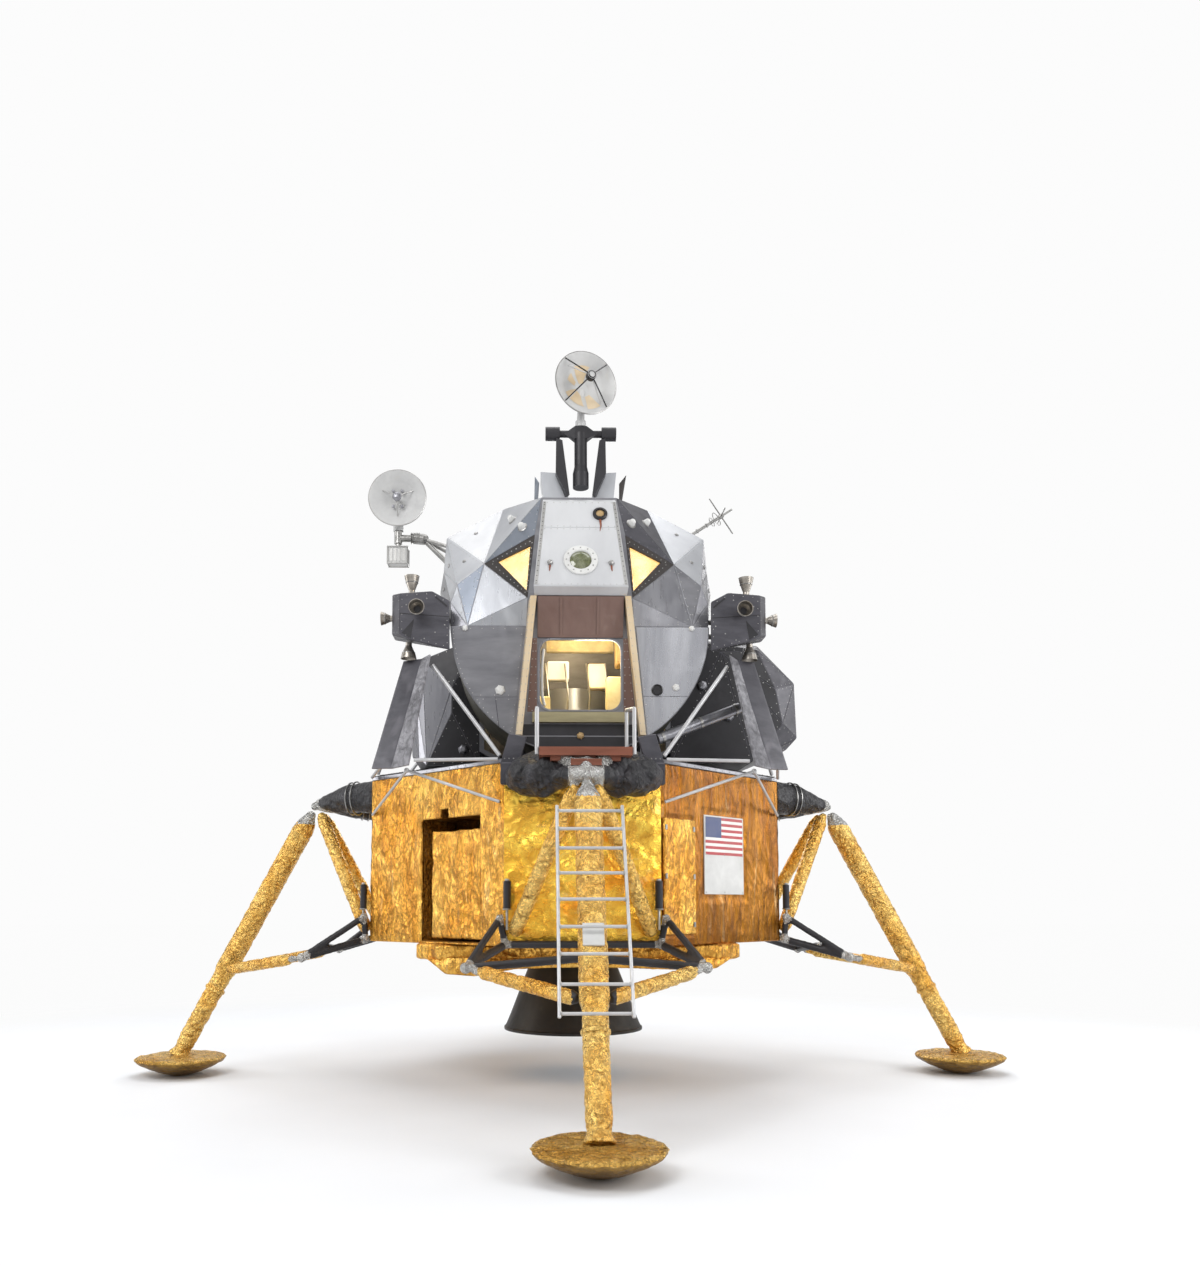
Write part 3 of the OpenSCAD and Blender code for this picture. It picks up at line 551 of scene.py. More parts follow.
# ------------------------------------------------------------------ light, floor
w = bpy.data.worlds.new("world")
scene.world = w
w.use_nodes = True
nt = w.node_tree
bg = nt.nodes["Background"]
lp = nt.nodes.new("ShaderNodeLightPath")
tc = nt.nodes.new("ShaderNodeTexCoord")
sep = nt.nodes.new("ShaderNodeSeparateXYZ")
nt.links.new(tc.outputs["Generated"], sep.inputs[0])
rp = nt.nodes.new("ShaderNodeValToRGB")
mr = nt.nodes.new("ShaderNodeMapRange")
nt.links.new(sep.outputs[2], mr.inputs[0])
mr.inputs[1].default_value = -1
nt.links.new(mr.outputs[0], rp.inputs[0])
e = rp.color_ramp.elements
for _ in range(3):
    e.new(0.5)
for s, (p, c) in zip(e, [(0.0, 0.9), (0.40, 0.8), (0.52, 0.62), (0.70, 0.95), (1.0, 0.7)]):
    s.position = p
    s.color = (c, c, c, 1)
wn = nt.nodes.new("ShaderNodeTexNoise")
nt.links.new(tc.outputs["Generated"], wn.inputs["Vector"])
wn.inputs["Scale"].default_value = 2.6
wn.inputs["Detail"].default_value = 1.5
wr = nt.nodes.new("ShaderNodeMapRange")
nt.links.new(wn.outputs["Fac"], wr.inputs[0])
wr.inputs[1].default_value, wr.inputs[2].default_value = 0.36, 0.62
wr.inputs[3].default_value, wr.inputs[4].default_value = 0.16, 1.38
wm = nt.nodes.new("ShaderNodeMix")
wm.data_type = "RGBA"
wm.blend_type = "MULTIPLY"
wm.inputs[0].default_value = 1.0
nt.links.new(rp.outputs[0], wm.inputs[6])
nt.links.new(wr.outputs[0], wm.inputs[7])
wd = nt.nodes.new("ShaderNodeMix")
wd.data_type = "RGBA"
nt.links.new(lp.outputs["Is Diffuse Ray"], wd.inputs[0])
nt.links.new(wm.outputs[2], wd.inputs[6])
wd.inputs[7].default_value = (0.46, 0.46, 0.46, 1)
mx = nt.nodes.new("ShaderNodeMix")
mx.data_type = "RGBA"
nt.links.new(lp.outputs["Is Camera Ray"], mx.inputs[0])
nt.links.new(wd.outputs[2], mx.inputs[6])
mx.inputs[7].default_value = (0.973, 0.973, 0.973, 1)
nt.links.new(mx.outputs[2], bg.inputs[0])
bg.inputs[1].default_value = 1.0


def area(name, loc, target, size, power, color=(1, 1, 1)):
    l = bpy.data.lights.new(name, "AREA")
    l.shape = "RECTANGLE"
    l.size, l.size_y = size
    l.energy = power
    l.color = color
    o = bpy.data.objects.new(name, l)
    scene.collection.objects.link(o)
    o.location = loc
    o.rotation_euler = (Vector(target) - Vector(loc)).to_track_quat("-Z", "Y").to_euler()
    o.visible_camera = False
    return o


area("key", (-7, -11, 12), (0, 0, 3), (6, 6), 800)
area("fill", (10, -9, 7), (0, 0, 3), (5, 7), 650)
area("top", (0, 1, 16), (0, 0, 0), (12, 12), 1000)
area("left", (-14, 1, 6), (0, 0, 3), (5, 8), 550)
area("right", (14, 2, 6), (0, 0, 3), (5, 8), 420)
area("back", (2, 14, 9), (0, 0, 3), (8, 6), 800)
lamp = bpy.data.lights.new("cabin_lamp", "POINT")
lamp.energy = 105
lamp.color = (1.0, 0.78, 0.42)
lamp.shadow_soft_size = 0.25
lo = bpy.data.objects.new("cabin_lamp", lamp)
lo.location = (0.0, -1.1, 5.3)
scene.collection.objects.link(lo)
lamp2 = bpy.data.lights.new("cabin_lamp_low", "POINT")
lamp2.energy = 22
lamp2.color = (1.0, 0.86, 0.6)
lamp2.shadow_soft_size = 0.2
lo2 = bpy.data.objects.new("cabin_lamp_low", lamp2)
lo2.location = (0.15, -1.3, 4.25)
scene.collection.objects.link(lo2)

bm = bmesh.new()
bmesh.ops.create_grid(bm, x_segments=8, y_segments=8, size=90)
me = bpy.data.meshes.new("floor")
bm.to_mesh(me)
bm.free()
floor = bpy.data.objects.new("floor", me)
scene.collection.objects.link(floor)
fm = M("floor_paint", 0.55, 0.0)
ln = fm.node("ShaderNodeVectorMath", {0: fm.tc.outputs["Object"]}, operation="LENGTH")
far = fm.node("ShaderNodeMapRange", {0: ln.outputs["Value"], 1: 6.5, 2: 11.0}, interpolation_type="SMOOTHSTEP").outputs[0]
fm.color(fm.mixc(far, fm.ramp(fm.noise(0.6, 3), [(0.3, "E6E8EB"), (0.7, "E9EBEE")]), "000000"))
fm.nt.links.new(far, fm.b.inputs["Emission Strength"])
fm.b.inputs["Emission Color"].default_value = (0.97, 0.97, 0.97, 1)
fm.b.inputs["Specular IOR Level"].default_value = 0.0
me.materials.append(fm.m)

# ------------------------------------------------------------------ descent stage skin
A, B = 2.090, 0.700
OCT = [(-B, -A), (B, -A), (A, -B), (A, B), (B, A), (-B, A), (-A, B), (-A, -B)]   # 0 = front edge start
FACE = ["front", "front_right", "right", "rear_right", "rear", "rear_left", "left", "front_left"]
Z0, Z1 = 1.455, 3.097


def skin_points(k, U, Z, off):
    """Point on face k at distance U along it, pushed out by off; Z is not used."""
    a, b = np.array(OCT[k]), np.array(OCT[(k + 1) % 8])
    L = np.linalg.norm(b - a)
    d = (b - a) / L
    n = np.array([d[1], -d[0]])
    return a[None] + d[None] * U[:, None] + n[None] * off[:, None], n, d, L


def skin(k):
    a, b = np.array(OCT[k]), np.array(OCT[(k + 1) % 8])
    L = float(np.linalg.norm(b - a))
    d = (b - a) / L
    n = np.array([d[1], -d[0]])
    step = 0.0135 if k in (7, 0, 1) else 0.0195
    ub = [0.0, L]
    zb = [Z0, Z1]
    if k == 7:      # front left face, seen with the stowage bay cut out
        f0 = [L - 1.667, L - 1.158 - .058, L - 1.158 + .058, L - 0.815]
        ub = sorted([0.0, 0.815, 1.100, 1.216, 1.667, L])
        zb = [Z0, 1.468, 2.645, 2.732, Z1]
    us = np.unique(np.concatenate([np.linspace(p, q, max(2, int(round((q - p) / step)) + 1)) for p, q in zip(ub[:-1], ub[1:])]).round(5))
    zs = np.unique(np.concatenate([np.linspace(p, q, max(2, int(round((q - p) / step)) + 1)) for p, q in zip(zb[:-1], zb[1:])]).round(5))
    # rolled edges: the sheet turns in at the foot and at the head
    U, Z = np.meshgrid(us, zs)
    U, Z = U.ravel(), Z.ravel()
    nrm = np.tile(n, (len(U), 1))
    # corner rounding: the outward direction leans to the neighbour within 50 mm
    pn = np.array(OCT[(k + 2) % 8]) - b
    pn = np.array([pn[1], -pn[0]]) / np.linalg.norm(pn)
    pp = a - np.array(OCT[(k - 1) % 8])
    pp = np.array([pp[1], -pp[0]]) / np.linalg.norm(pp)
    t0 = np.clip(1 - U / 0.05, 0, 1)[:, None] * 0.5
    t1 = np.clip(1 - (L - U) / 0.05, 0, 1)[:, None] * 0.5
    nrm = nrm * (1 - t0 - t1) + pp * t0 + pn * t1
    nrm /= np.linalg.norm(nrm, axis=1)[:, None]
    base = a[None] + d[None] * U[:, None]
    P = np.column_stack([base, Z])
    leg = k % 2 == 0
    S = np.array([1, 1, 0.75 if leg else 0.32])
    W = np.column_stack([U, Z, np.full(len(U), 3.1 * k)])

    def flow(scale, ratio, seed, ang0=0.0, turn=1.2):
        """Folds that run along a slowly turning direction."""
        th = ang0 + turn * perlin(W * 0.9 + seed)
        ww = W + 0.10 * np.column_stack([perlin(W * 2.2 + seed + 5), perlin(W * 2.2 + seed + 9), np.zeros(len(U))])
        p_ = ww[:, 0] * np.cos(th) + ww[:, 1] * np.sin(th)
        q_ = -ww[:, 0] * np.sin(th) + ww[:, 1] * np.cos(th)
        return (1 - 2.2 * np.abs(perlin(np.column_stack([p_ * scale, q_ * scale * ratio, W[:, 2] + seed])))).clip(-0.5, 1)
    if leg:     # broad slack folds that fan out from the strut brackets
        c0 = np.array([L / 2, 2.75])
        ang = np.arctan2(Z - c0[1], U - c0[0])
        rad = np.hypot(Z - c0[1], U - c0[0])
        fan = (1 - 2.0 * np.abs(perlin(np.column_stack([ang * 3.4, rad * 0.9, np.full(len(U), 1.7 * k)])))) * np.clip(rad / 0.5, 0, 1)
        h = 0.34 * flow(3.2, 0.3, 11.0 + k, 1.2, 1.0) + 0.42 * fan + 0.16 * flow(9.0, 0.22, 31.0 + k, 1.3, 1.4) + 0.10 * crumple(P, 11, 3, 4) + 0.25
        amp = 0.024
    else:
        v0 = 0.42 * flow(5.5, 0.16, 13.0 + k, 0.08, 0.35) + 0.22 * flow(15.0, 0.14, 43.0 + k, 0.05, 0.3)
        h = v0 + 0.34 * crumple(P * np.array([1, 1, 0.45]), 6, 5, 5) + 0.2 * crumple(P, 17, 3, 6) + 0.08
        amp = 0.021 if k != 1 else 0.013
        for u0 in ((0.60, 1.30) if k != 7 else (0.13, 0.78, 1.72)):   # taped seams up the face
            q = np.clip(1 - np.abs(U - u0 - 0.006 * np.sin(Z * 9)) / 0.016, 0, 1)
            h = h * (1 - 0.85 * q) + 0.75 * q
        if k == 7:      # flat under the pallet's hinge
            q = np.clip(1 - np.maximum(np.maximum(0.80 - U, U - 1.69), Z - 1.50) / 0.02, 0, 1)
            h = h * (1 - q) - 0.1 * q
        if k == 1:      # lies flat behind the sign board and the cover
            q = np.clip(1 - np.maximum(np.maximum(0.62 - U, U - 1.35), np.maximum(1.88 - Z, Z - 2.71)) / 0.04, 0, 1)
            h = h * (1 - 0.8 * q)
            q = np.clip(1 - np.maximum(np.maximum(0.01 - U, U - 0.49), np.maximum(1.54 - Z, Z - 2.62)) / 0.03, 0, 1)
            h = h * (1 - 0.8 * q)
    edge = np.minimum(np.minimum(U, L - U) / 0.07, np.minimum(Z - Z0, Z1 - Z) / 0.09)
    hold = 0.35 + 0.65 * np.clip(edge, 0, 1)
    off = 0.0035 + amp * np.clip(h, 0, 1.2) * hold
    xy = base + nrm * off[:, None]
    V = np.column_stack([xy, Z])
    nu, nz = len(us), len(zs)
    keep = np.ones((nz - 1, nu - 1), bool)
    if k == 7:
        uc, zc = (us[:-1] + us[1:]) / 2, (zs[:-1] + zs[1:]) / 2
        UU, ZZ = np.meshgrid(uc, zc)
        bay = ((UU > 0.815) & (UU < 1.667) & (ZZ > 1.468) & (ZZ < 2.645)) | ((UU > 1.100) & (UU < 1.216) & (ZZ >= 2.645) & (ZZ < 2.732))
        keep = ~bay
    idx = np.arange(nu * nz).reshape(nz, nu)
    faces = []
    for j in range(nz - 1):
        for i in range(nu - 1):
            if keep[j, i]:
                faces.append((idx[j, i], idx[j, i + 1], idx[j + 1, i + 1], idx[j + 1, i]))
    V = V.tolist()
    # turn every free edge inwards so that the sheet has a rolled border
    from collections import Counter
    cnt = Counter()
    for f in faces:
        for i in range(4):
            e0, e1 = f[i], f[(i + 1) % 4]
            cnt[(min(e0, e1), max(e0, e1))] += 1
    lipmap = {}
    extra = []
    for f in list(faces):
        for i in range(4):
            e0, e1 = f[i], f[(i + 1) % 4]
            if cnt[(min(e0, e1), max(e0, e1))] == 1:
                onside = (U[e0] in (0.0, us[-1])) and (U[e1] in (0.0, us[-1])) and U[e0] == U[e1]
                if onside:
                    continue
                for q in (e0, e1):
                    if q not in lipmap:
                        lipmap[q] = len(V)
                        z = Z[q]
                        if z <= Z0 + 1e-6:
                            V.append([base[q, 0] - n[0] * .03, base[q, 1] - n[1] * .03, Z0 - .004])
                        elif z >= Z1 - 1e-6:
                            V.append([base[q, 0] - n[0] * .028, base[q, 1] - n[1] * .028, 3.0995])
                        else:
                            V.append([base[q, 0] - n[0] * .012 , base[q, 1] - n[1] * .012, z])
                extra.append((e1, e0, lipmap[e0], lipmap[e1]))
    faces += extra
    # the front-right diagonal face takes the darker gold as painted shade
    o = mesh_obj("foil_" + FACE[k], V, faces, ["gold_front" if leg else ("gold_shaded_right" if k == 1 else "gold_diag")])
    return o


for k in range(8):
    skin(k)

# plain CAD nodes that stay: finish by node
for n, m in {
    # stage_body takes the darkened gold: painted shade in its bays and underside
    "stage_body": "gold_dark", "stage_deck": "deck", "ladder_rails": "thin_silver", "ladder_rungs": "thin_silver", "porch_floor": "brown_red",
    "porch_rails": "thin_silver", "deflector_struts": "thin_silver", "radar_brackets": "steel", "engine_mount": "steel", "gimbal_ring": "steel",
    "descent_engine": "bell", "front_panel": "grey_panel", "window_panels": "grey_panel", "cabin_shoulders": "light_panel", "cabin_barrel": "olive",
    "window_glass": "glass", "front_beams": "cream", "hatch_sill": "sill_olive", "nose_panel": "white_panel", "hatch_hood": "brown_paint",
    "nose_horns": "light_panel", "front_hatch": "inside", "cabin_floor": "inside_dark", "instrument_panels": "inside_dark", "midsection": "grey_panel",
    "aft_bulkhead": "charcoal", "engine_cover": "light_panel", "docking_tunnel": "steel", "overhead_hatch": "light_panel", "aft_bay": "charcoal",
    "left_tank_bay": "charcoal", "right_tank_bay": "charcoal", "interstage_skirt": "black_smooth", "thruster_housings": "charcoal_matt",
    "thruster_booms": "steel", "thruster_nozzles": "nozzle_rcs", "radar_pedestal": "black_smooth", "radar_shaft": "black_smooth", "radar_dish": "dish_white",
    "antenna_boom": "steel", "antenna_gimbal": "steel", "antenna_dish": "dish_white", "vhf_antennas": "steel", "umbilical_tube": "mid_panel",
    "landing_radar": "white_paint", "gear_springs": "black_smooth", "strut_plate": "white_paint", "sign_plate": "white_paint", "stowage_cover": "gold_diag",
    "equipment_pallet": "gold_diag", "plume_deflectors": "charcoal", "base_shield": "gold_diag",
}.items():
    if n in N:
        paintnode(n, m)

# ------------------------------------------------------------------ hand-wrapped pieces
def legs_fold(co):
    """Turn each point into the front leg's frame (x across, y forward negative)."""
    x, y = co[:, 0].copy(), co[:, 1].copy()
    k = np.where(np.abs(y) >= np.abs(x), np.where(y < 0, 0, 2), np.where(x > 0, 1, 3))
    fx = np.select([k == 0, k == 1, k == 2, k == 3], [x, y, -x, -y])
    fy = np.select([k == 0, k == 1, k == 2, k == 3], [y, -x, -y, x])
    return fx, fy, co[:, 2]


def pick_strut(c, nr):
    fx, fy, z = legs_fold(c)
    return np.where(z > 2.70, 1, 0)


wrapped("main_struts", ["gold_wrap", "silver_foil"], 0.0165, 0.020, 10.0, 1, pick_strut, 0.45, 2, (1, 1, 1.0))
wrapped("outrigger_braces", ["gold_wrap"], 0.0155, 0.017, 11.0, 2, None, 0.35, 2)


def pick_sec(c, nr):
    fx, fy, z = legs_fold(c)
    t = (np.abs(fx) - 0.118) / 0.82
    return np.where(t > 0.95, 1, np.where(t < 0.055, 2, 0))


wrapped("secondary_struts", ["gold_wrap", "silver_foil", "black_smooth"], 0.0145, 0.013, 12.0, 3, pick_sec, 0.4, 2)


def pick_truss(c, nr):
    fx, fy, z = legs_fold(c)
    T = [(1.000, -2.730, 1.300, .085), (0.735, -2.162, 1.700, .07), (0.690, -2.150, 1.470, .07), (0.0, -2.730, 1.385, .06)]
    d = np.full(len(c), 9.0)
    for a, b, e, r in T:
        d = np.minimum(d, np.sqrt((np.abs(fx) - a) ** 2 + (fy - b) ** 2 + (z - e) ** 2) - r)
    return np.where(d < 0, 0, 1)


wrapped("deployment_trusses", ["silver_foil", "black_smooth"], 0.0165, 0.004, 12.0, 4, pick_truss, 0.35, 2)
# faces above 0.176 m take the lighter top gold and the bowl below takes the darker gold as painted shade
wrapped("footpads", ["gold_pad", "gold_padtop"], 0.0180, 0.022, 7.0, 5, lambda c, nr: np.where(c[:, 2] > 0.176, 1, 0), 0.6, 2, (1, 1, 3.0), keep=lambda co: np.clip((co[:, 2] - 0.05) / 0.12, 0.12, 1.0))


def pick_out(c, nr):
    fx, fy, z = legs_fold(c)
    return np.where((fy < -2.60) & (np.abs(fx) < 0.15), 1, 0)


wrapped("outriggers", ["black_blanket", "silver_foil"], 0.0180, 0.030, 3.6, 6, pick_out, 0.6, 3)
wrapped("base_shield", ["gold_diag"], 0.030, 0.016, 4.0, 7, None, 0.5, 1)
wrapped("equipment_pallet", ["gold_diag"], 0.0145, 0.026, 4.2, 8, None, 0.75, 1, (1, 1, .6), keep=lambda co: np.clip((co[:, 2] - 1.53) / 0.12, 0.0, 1.0))
wrapped("stowage_cover", ["gold_diag"], 0.0125, 0.014, 4.0, 9, None, 0.5, 0, (1, 1, .4))


# ------------------------------------------------------------------ plated skins of the cabin
def newell(P):
    n = Vector()
    for i in range(len(P)):
        a, b = P[i], P[(i + 1) % len(P)]
        n += Vector(((a.y - b.y) * (a.z + b.z), (a.z - b.z) * (a.x + b.x), (a.x - b.x) * (a.y + b.y)))
    return n.normalized()


def inset(P, n, d):
    """Convex polygon pulled in by d on every side."""
    out, k = [], len(P)
    for i in range(k):
        e0 = (P[i] - P[i - 1]).normalized()
        e1 = (P[(i + 1) % k] - P[i]).normalized()
        m0, m1 = n.cross(e0), n.cross(e1)
        s = m0 + m1
        q = s.length_squared
        out.append(P[i] + s * (2 * d / q) if q > 0.05 else P[i] + (m0 + m1) * d)
    return out


class Plates(Build):
    def plate(self, P, m=0, out=None, gap=0.004, th=0.003, lift=0.0006, rivets=0.085, rm=None, edge=0.02, rr=0.0055):
        P = [Vector(p) for p in P]
        n = newell(P)
        c = sum(P, Vector()) / len(P)
        if out is not None and n.dot(Vector(out)) < 0:
            P, n = P[::-1], -n
        A0 = inset(P, n, gap)
        A1 = inset(P, n, gap + th * 0.6)
        k = len(P)
        v = [p + n * (-0.001) for p in A0] + [p + n * (lift + th * 0.6) for p in A0] + [p + n * (lift + th) for p in A1]
        f = [[i for i in range(k)][::-1]]
        for j in range(2):
            for i in range(k):
                f.append([j * k + i, j * k + (i + 1) % k, (j + 1) * k + (i + 1) % k, (j + 1) * k + i])
        f.append([2 * k + i for i in range(k)])
        self.add(v, f, m)
        if rivets:
            R = inset(P, n, edge)
            for i in range(k):
                a, b = R[i], R[(i + 1) % k]
                if (b - a).dot(P[(i + 1) % k] - P[i]) <= 0:
                    continue
                L = (b - a).length
                q = max(1, int(L / rivets))
                for j in range(q):
                    self.rivet(a.lerp(b, (j + 0.5) / q) + n * (lift + th), n, rr, 0.003, m if rm is None else rm, 6)


def mm(p):
    return Vector(p) / 1000


CPR = [mm(p) for p in [(1060, -1750, 4440), (1217, -1700, 4440), (1232, -1620, 4700), (1172, -1600, 4885), (915, -1600, 5090), (497, -1750, 4715), (428, -1750, 5325),
       (360, -1580, 5758), (750, -800, 5945), (1338, -800, 5635), (1368, -800, 5270), (1402, -800, 5050), (1240, -800, 4440),
       (750, -640, 5945), (1338, -640, 5635), (1368, -640, 5270), (1402, -640, 5050), (1240, -640, 4440)]]
PM = ["fan_lit_left", "disc_painted_highlight", "light_panel", "grey_blue", "charcoal", "mid_panel", "grey_panel", "white_panel", "bare", "black_smooth", "brown_paint"]
PI = {n: i for i, n in enumerate(PM)}
pl = Plates()
for sx in (1, -1):
    C = [Vector((p.x * sx, p.y, p.z)) for p in CPR]
    right = sx > 0
    mid = Vector((0, -1.2, 4.9))

    def P(idx, mat, **k):
        q = [C[i] for i in idx]
        c = sum(q, Vector()) / len(q)
        pl.plate(q, PI[mat], c - mid, rm=PI["bare"] if mat not in ("charcoal",) else PI["grey_panel"], **k)
    # painted light and shade: mirrored facets take darker finishes on the right, charcoal on the brow, and lighter ones
    # on the left, where the light comes from
    P([6, 7, 4], "charcoal" if right else "grey_blue")
    P([7, 8, 4], "charcoal" if right else "light_panel")
    P([8, 9, 4], "light_panel" if right else "white_panel")
    P([9, 3, 4], "light_panel")
    P([9, 10, 3], "mid_panel" if right else "light_panel")
    P([10, 2, 3], "mid_panel" if right else "light_panel")
    P([10, 11, 2], "grey_panel")
    P([11, 1, 2], "grey_panel")
    P([11, 12, 1], "grey_panel")
    P([5, 4, 0], "mid_panel" if right else "fan_lit_left")
    P([4, 3, 0], "grey_panel" if right else "grey_blue")
    P([3, 2, 0], "mid_panel" if right else "fan_lit_left")
    P([2, 1, 0], "grey_panel" if right else "mid_panel")
    pl.plate([(sx * .505, -1.7502, 4.444), (sx * 1.058, -1.7502, 4.444), (sx * .497, -1.7502, 4.713)], PI["mid_panel" if right else "fan_lit_left"], (0, -1, 0), rm=PI["bare"], gap=0.001)
    P([8, 13, 14, 9], "light_panel", rivets=0.07)
    P([9, 14, 15, 10], "mid_panel", rivets=0.07)
    P([10, 15, 16, 11], "grey_panel", rivets=0.07)
    P([11, 16, 17, 12], "grey_panel", rivets=0.07)
# roof between the shoulders
pl.plate([(-.36, -1.58, 5.758), (.36, -1.58, 5.758), (.75, -.80, 5.945), (-.75, -.80, 5.945)], PI["light_panel"], (0, 0, 1), rm=PI["bare"])
pl.plate([(-.75, -.80, 5.945), (.75, -.80, 5.945), (.75, -.64, 5.945), (-.75, -.64, 5.945)], PI["light_panel"], (0, 0, 1), rm=PI["bare"])
# round nose disc: upper and lower plates on both sides, with the curved edge
for sx in (1, -1):
    zs = 3.775 if sx > 0 else 3.763

    def arc(z):
        return math.sqrt(max(0, 1.216 ** 2 - (z - 4.44) ** 2))

    def beam(z):
        return 0.627 + (z - 3.385) * (0.50 - 0.627) / (4.69 - 3.385)
    up = [(beam(4.437), 4.437), (beam(zs), zs)] + [(arc(z), z) for z in np.linspace(zs, 4.437, 15)]
    lo_ = [(beam(zs), zs), (beam(3.40), 3.40)] + [(arc(z), z) for z in np.linspace(3.40, zs, 9)]
    for poly in (up, lo_):
        # the right half takes the brighter plate as painted highlight, the left the plain grey
        pl.plate([(x * sx, -1.7505, z) for x, z in poly], PI["disc_painted_highlight" if sx > 0 else "grey_panel"], (0, -1, 0), rm=PI["bare"], rivets=0.1, gap=0.003)
pl.plate([(-.54, -1.7505, 3.40), (.54, -1.7505, 3.40), (.56, -1.7505, 3.512), (-.56, -1.7505, 3.512)], PI["black_smooth"], (0, -1, 0), rivets=0)
lows = [(x, -1.7505, 4.44 - math.sqrt(1.214 ** 2 - x * x)) for x in np.linspace(-.60, .60, 13)]
pl.plate(lows + [(.60, -1.7505, 3.395), (-.60, -1.7505, 3.395)], PI["black_smooth"], (0, -1, 0), rivets=0)
# hatch surround
for q in ([(-.50, 3.625), (-.405, 3.625), (-.405, 4.33), (-.45, 4.33)], [(.405, 3.625), (.515, 3.625), (.45, 4.33), (.405, 4.33)]):
    pl.plate([(x, -1.7505, z) for x, z in q], PI["brown_paint"], (0, -1, 0), rm=PI["bare"], gap=0.002, rivets=0.07, edge=0.014)
pl.make("cabin_plates", PM, slot="grey_panel")

# midsection sides
pl = Plates()
MO = [(700, 5945), (750, 5945), (1338, 5635), (1368, 5270), (1402, 5050), (1240, 4702), (1000, 4690), (1000, 3420), (700, 3252)]
for sx in (1, -1):
    for (x0, z0), (x1, z1), m in zip(MO[1:-1], MO[2:], ["light_panel", "mid_panel", "grey_panel", "grey_panel", "grey_panel", "charcoal", "charcoal"]):
        if x0 == x1 == 1000:
            continue
        for y0, y1 in ((-.638, .02), (.02, .689)):
            pl.plate([(sx * x0 / 1000, y0, z0 / 1000), (sx * x1 / 1000, y0, z1 / 1000), (sx * x1 / 1000, y1, z1 / 1000), (sx * x0 / 1000, y1, z0 / 1000)],
                     PI[m], (sx, 0, (z0 + z1) / 2000 - 4.6), rm=PI["bare"])
pl.plate([(-.75, -.638, 5.945), (-.47, -.638, 5.945), (-.47, .689, 5.945), (-.75, .689, 5.945)], PI["light_panel"], (0, 0, 1), rm=PI["bare"])
pl.plate([(.47, -.638, 5.945), (.75, -.638, 5.945), (.75, .689, 5.945), (.47, .689, 5.945)], PI["light_panel"], (0, 0, 1), rm=PI["bare"])
pl.plate([(-.47, -.638, 5.945), (.47, -.638, 5.945), (.47, -.475, 5.945), (-.47, -.475, 5.945)], PI["light_panel"], (0, 0, 1), rm=PI["bare"])
pl.make("midsection_plates", PM, slot="grey_panel")


def hull_faces(node):
    """The flat faces of each closed convex solid in a node, as polygons with their outward directions."""
    bm = bmesh.new()
    bm.from_mesh(N[node].data)
    bmesh.ops.remove_doubles(bm, verts=bm.verts, dist=0.0002)
    bmesh.ops.dissolve_limit(bm, angle_limit=math.radians(1.2), verts=bm.verts, edges=bm.edges)
    seen, out = set(), []
    for f in bm.faces:
        if f in seen:
            continue
        grp, st = [], [f]
        seen.add(f)
        while st:
            g_ = st.pop()
            grp.append(g_)
            for e_ in g_.edges:
                for h_ in e_.link_faces:
                    if h_ not in seen:
                        seen.add(h_)
                        st.append(h_)
        vs = {v for q in grp for v in q.verts}
        c = sum((v.co for v in vs), Vector()) / len(vs)
        for q in grp:
            P = [v.co.copy() for v in q.verts]
            out.append((P, q.normal.copy(), q.calc_area(), c))
    bm.free()
    return out


def plate_hulls(node, name, choose, mats=PM, min_area=0.02, **k):
    pl = Plates()
    for P, n, a, c in hull_faces(node):
        if a < min_area:
            continue
        fc = sum(P, Vector()) / len(P)
        if n.dot(fc - c) < 0:
            n = -n
        m = choose(fc, n)
        if m is None:
            continue
        pl.plate(P, mats.index(m), n, rm=mats.index("bare"), **k)
    return pl.make(name, mats, slot="dark_panel")


def ch_right(c, n):
    if n.z > 0.5:
        return "charcoal"
    return "charcoal" if n.y > -0.9 else "black_smooth"


def ch_left(c, n):
    if n.x < -0.35 and n.y < -0.2:
        return "light_panel" if c.z > 3.95 else "mid_panel"
    if n.x < -0.8:
        return "light_panel" if c.z > 3.9 else "grey_panel"
    if n.z > 0.3:
        return "light_panel"
    if n.y < -0.5:
        return "black_smooth"
    return "grey_panel"


plate_hulls("right_tank_bay", "right_tank_plates", ch_right)
plate_hulls("left_tank_bay", "left_tank_plates", ch_left)
plate_hulls("aft_bay", "aft_bay_plates", lambda c, n: "charcoal" if n.z < 0.5 else "grey_panel")
plate_hulls("thruster_housings", "housing_plates", lambda c, n: "charcoal", min_area=0.012, rivets=0.07, gap=0.003, rr=0.0045)

# ------------------------------------------------------------------ nose panel
dn = Vector((0, .31, .935)).normalized()
nn = Vector((0, -dn.z, dn.y))


def on_nose(x, z):
    return Vector((x, -1.95 + .31 * (z - 4.765) / .935, z))


def nose_w(z):
    return 0.44 - 0.088 * (z - 4.765) / .935


pl = Plates()
for z0, z1, m in ((4.772, 5.40, "white_panel"), (5.40, 5.695, "white_panel")):
    pl.plate([on_nose(-nose_w(z0), z0), on_nose(nose_w(z0), z0), on_nose(nose_w(z1), z1), on_nose(-nose_w(z1), z1)], PI[m], nn, rm=PI["bare"], rivets=0.06, edge=0.016, gap=0.003)
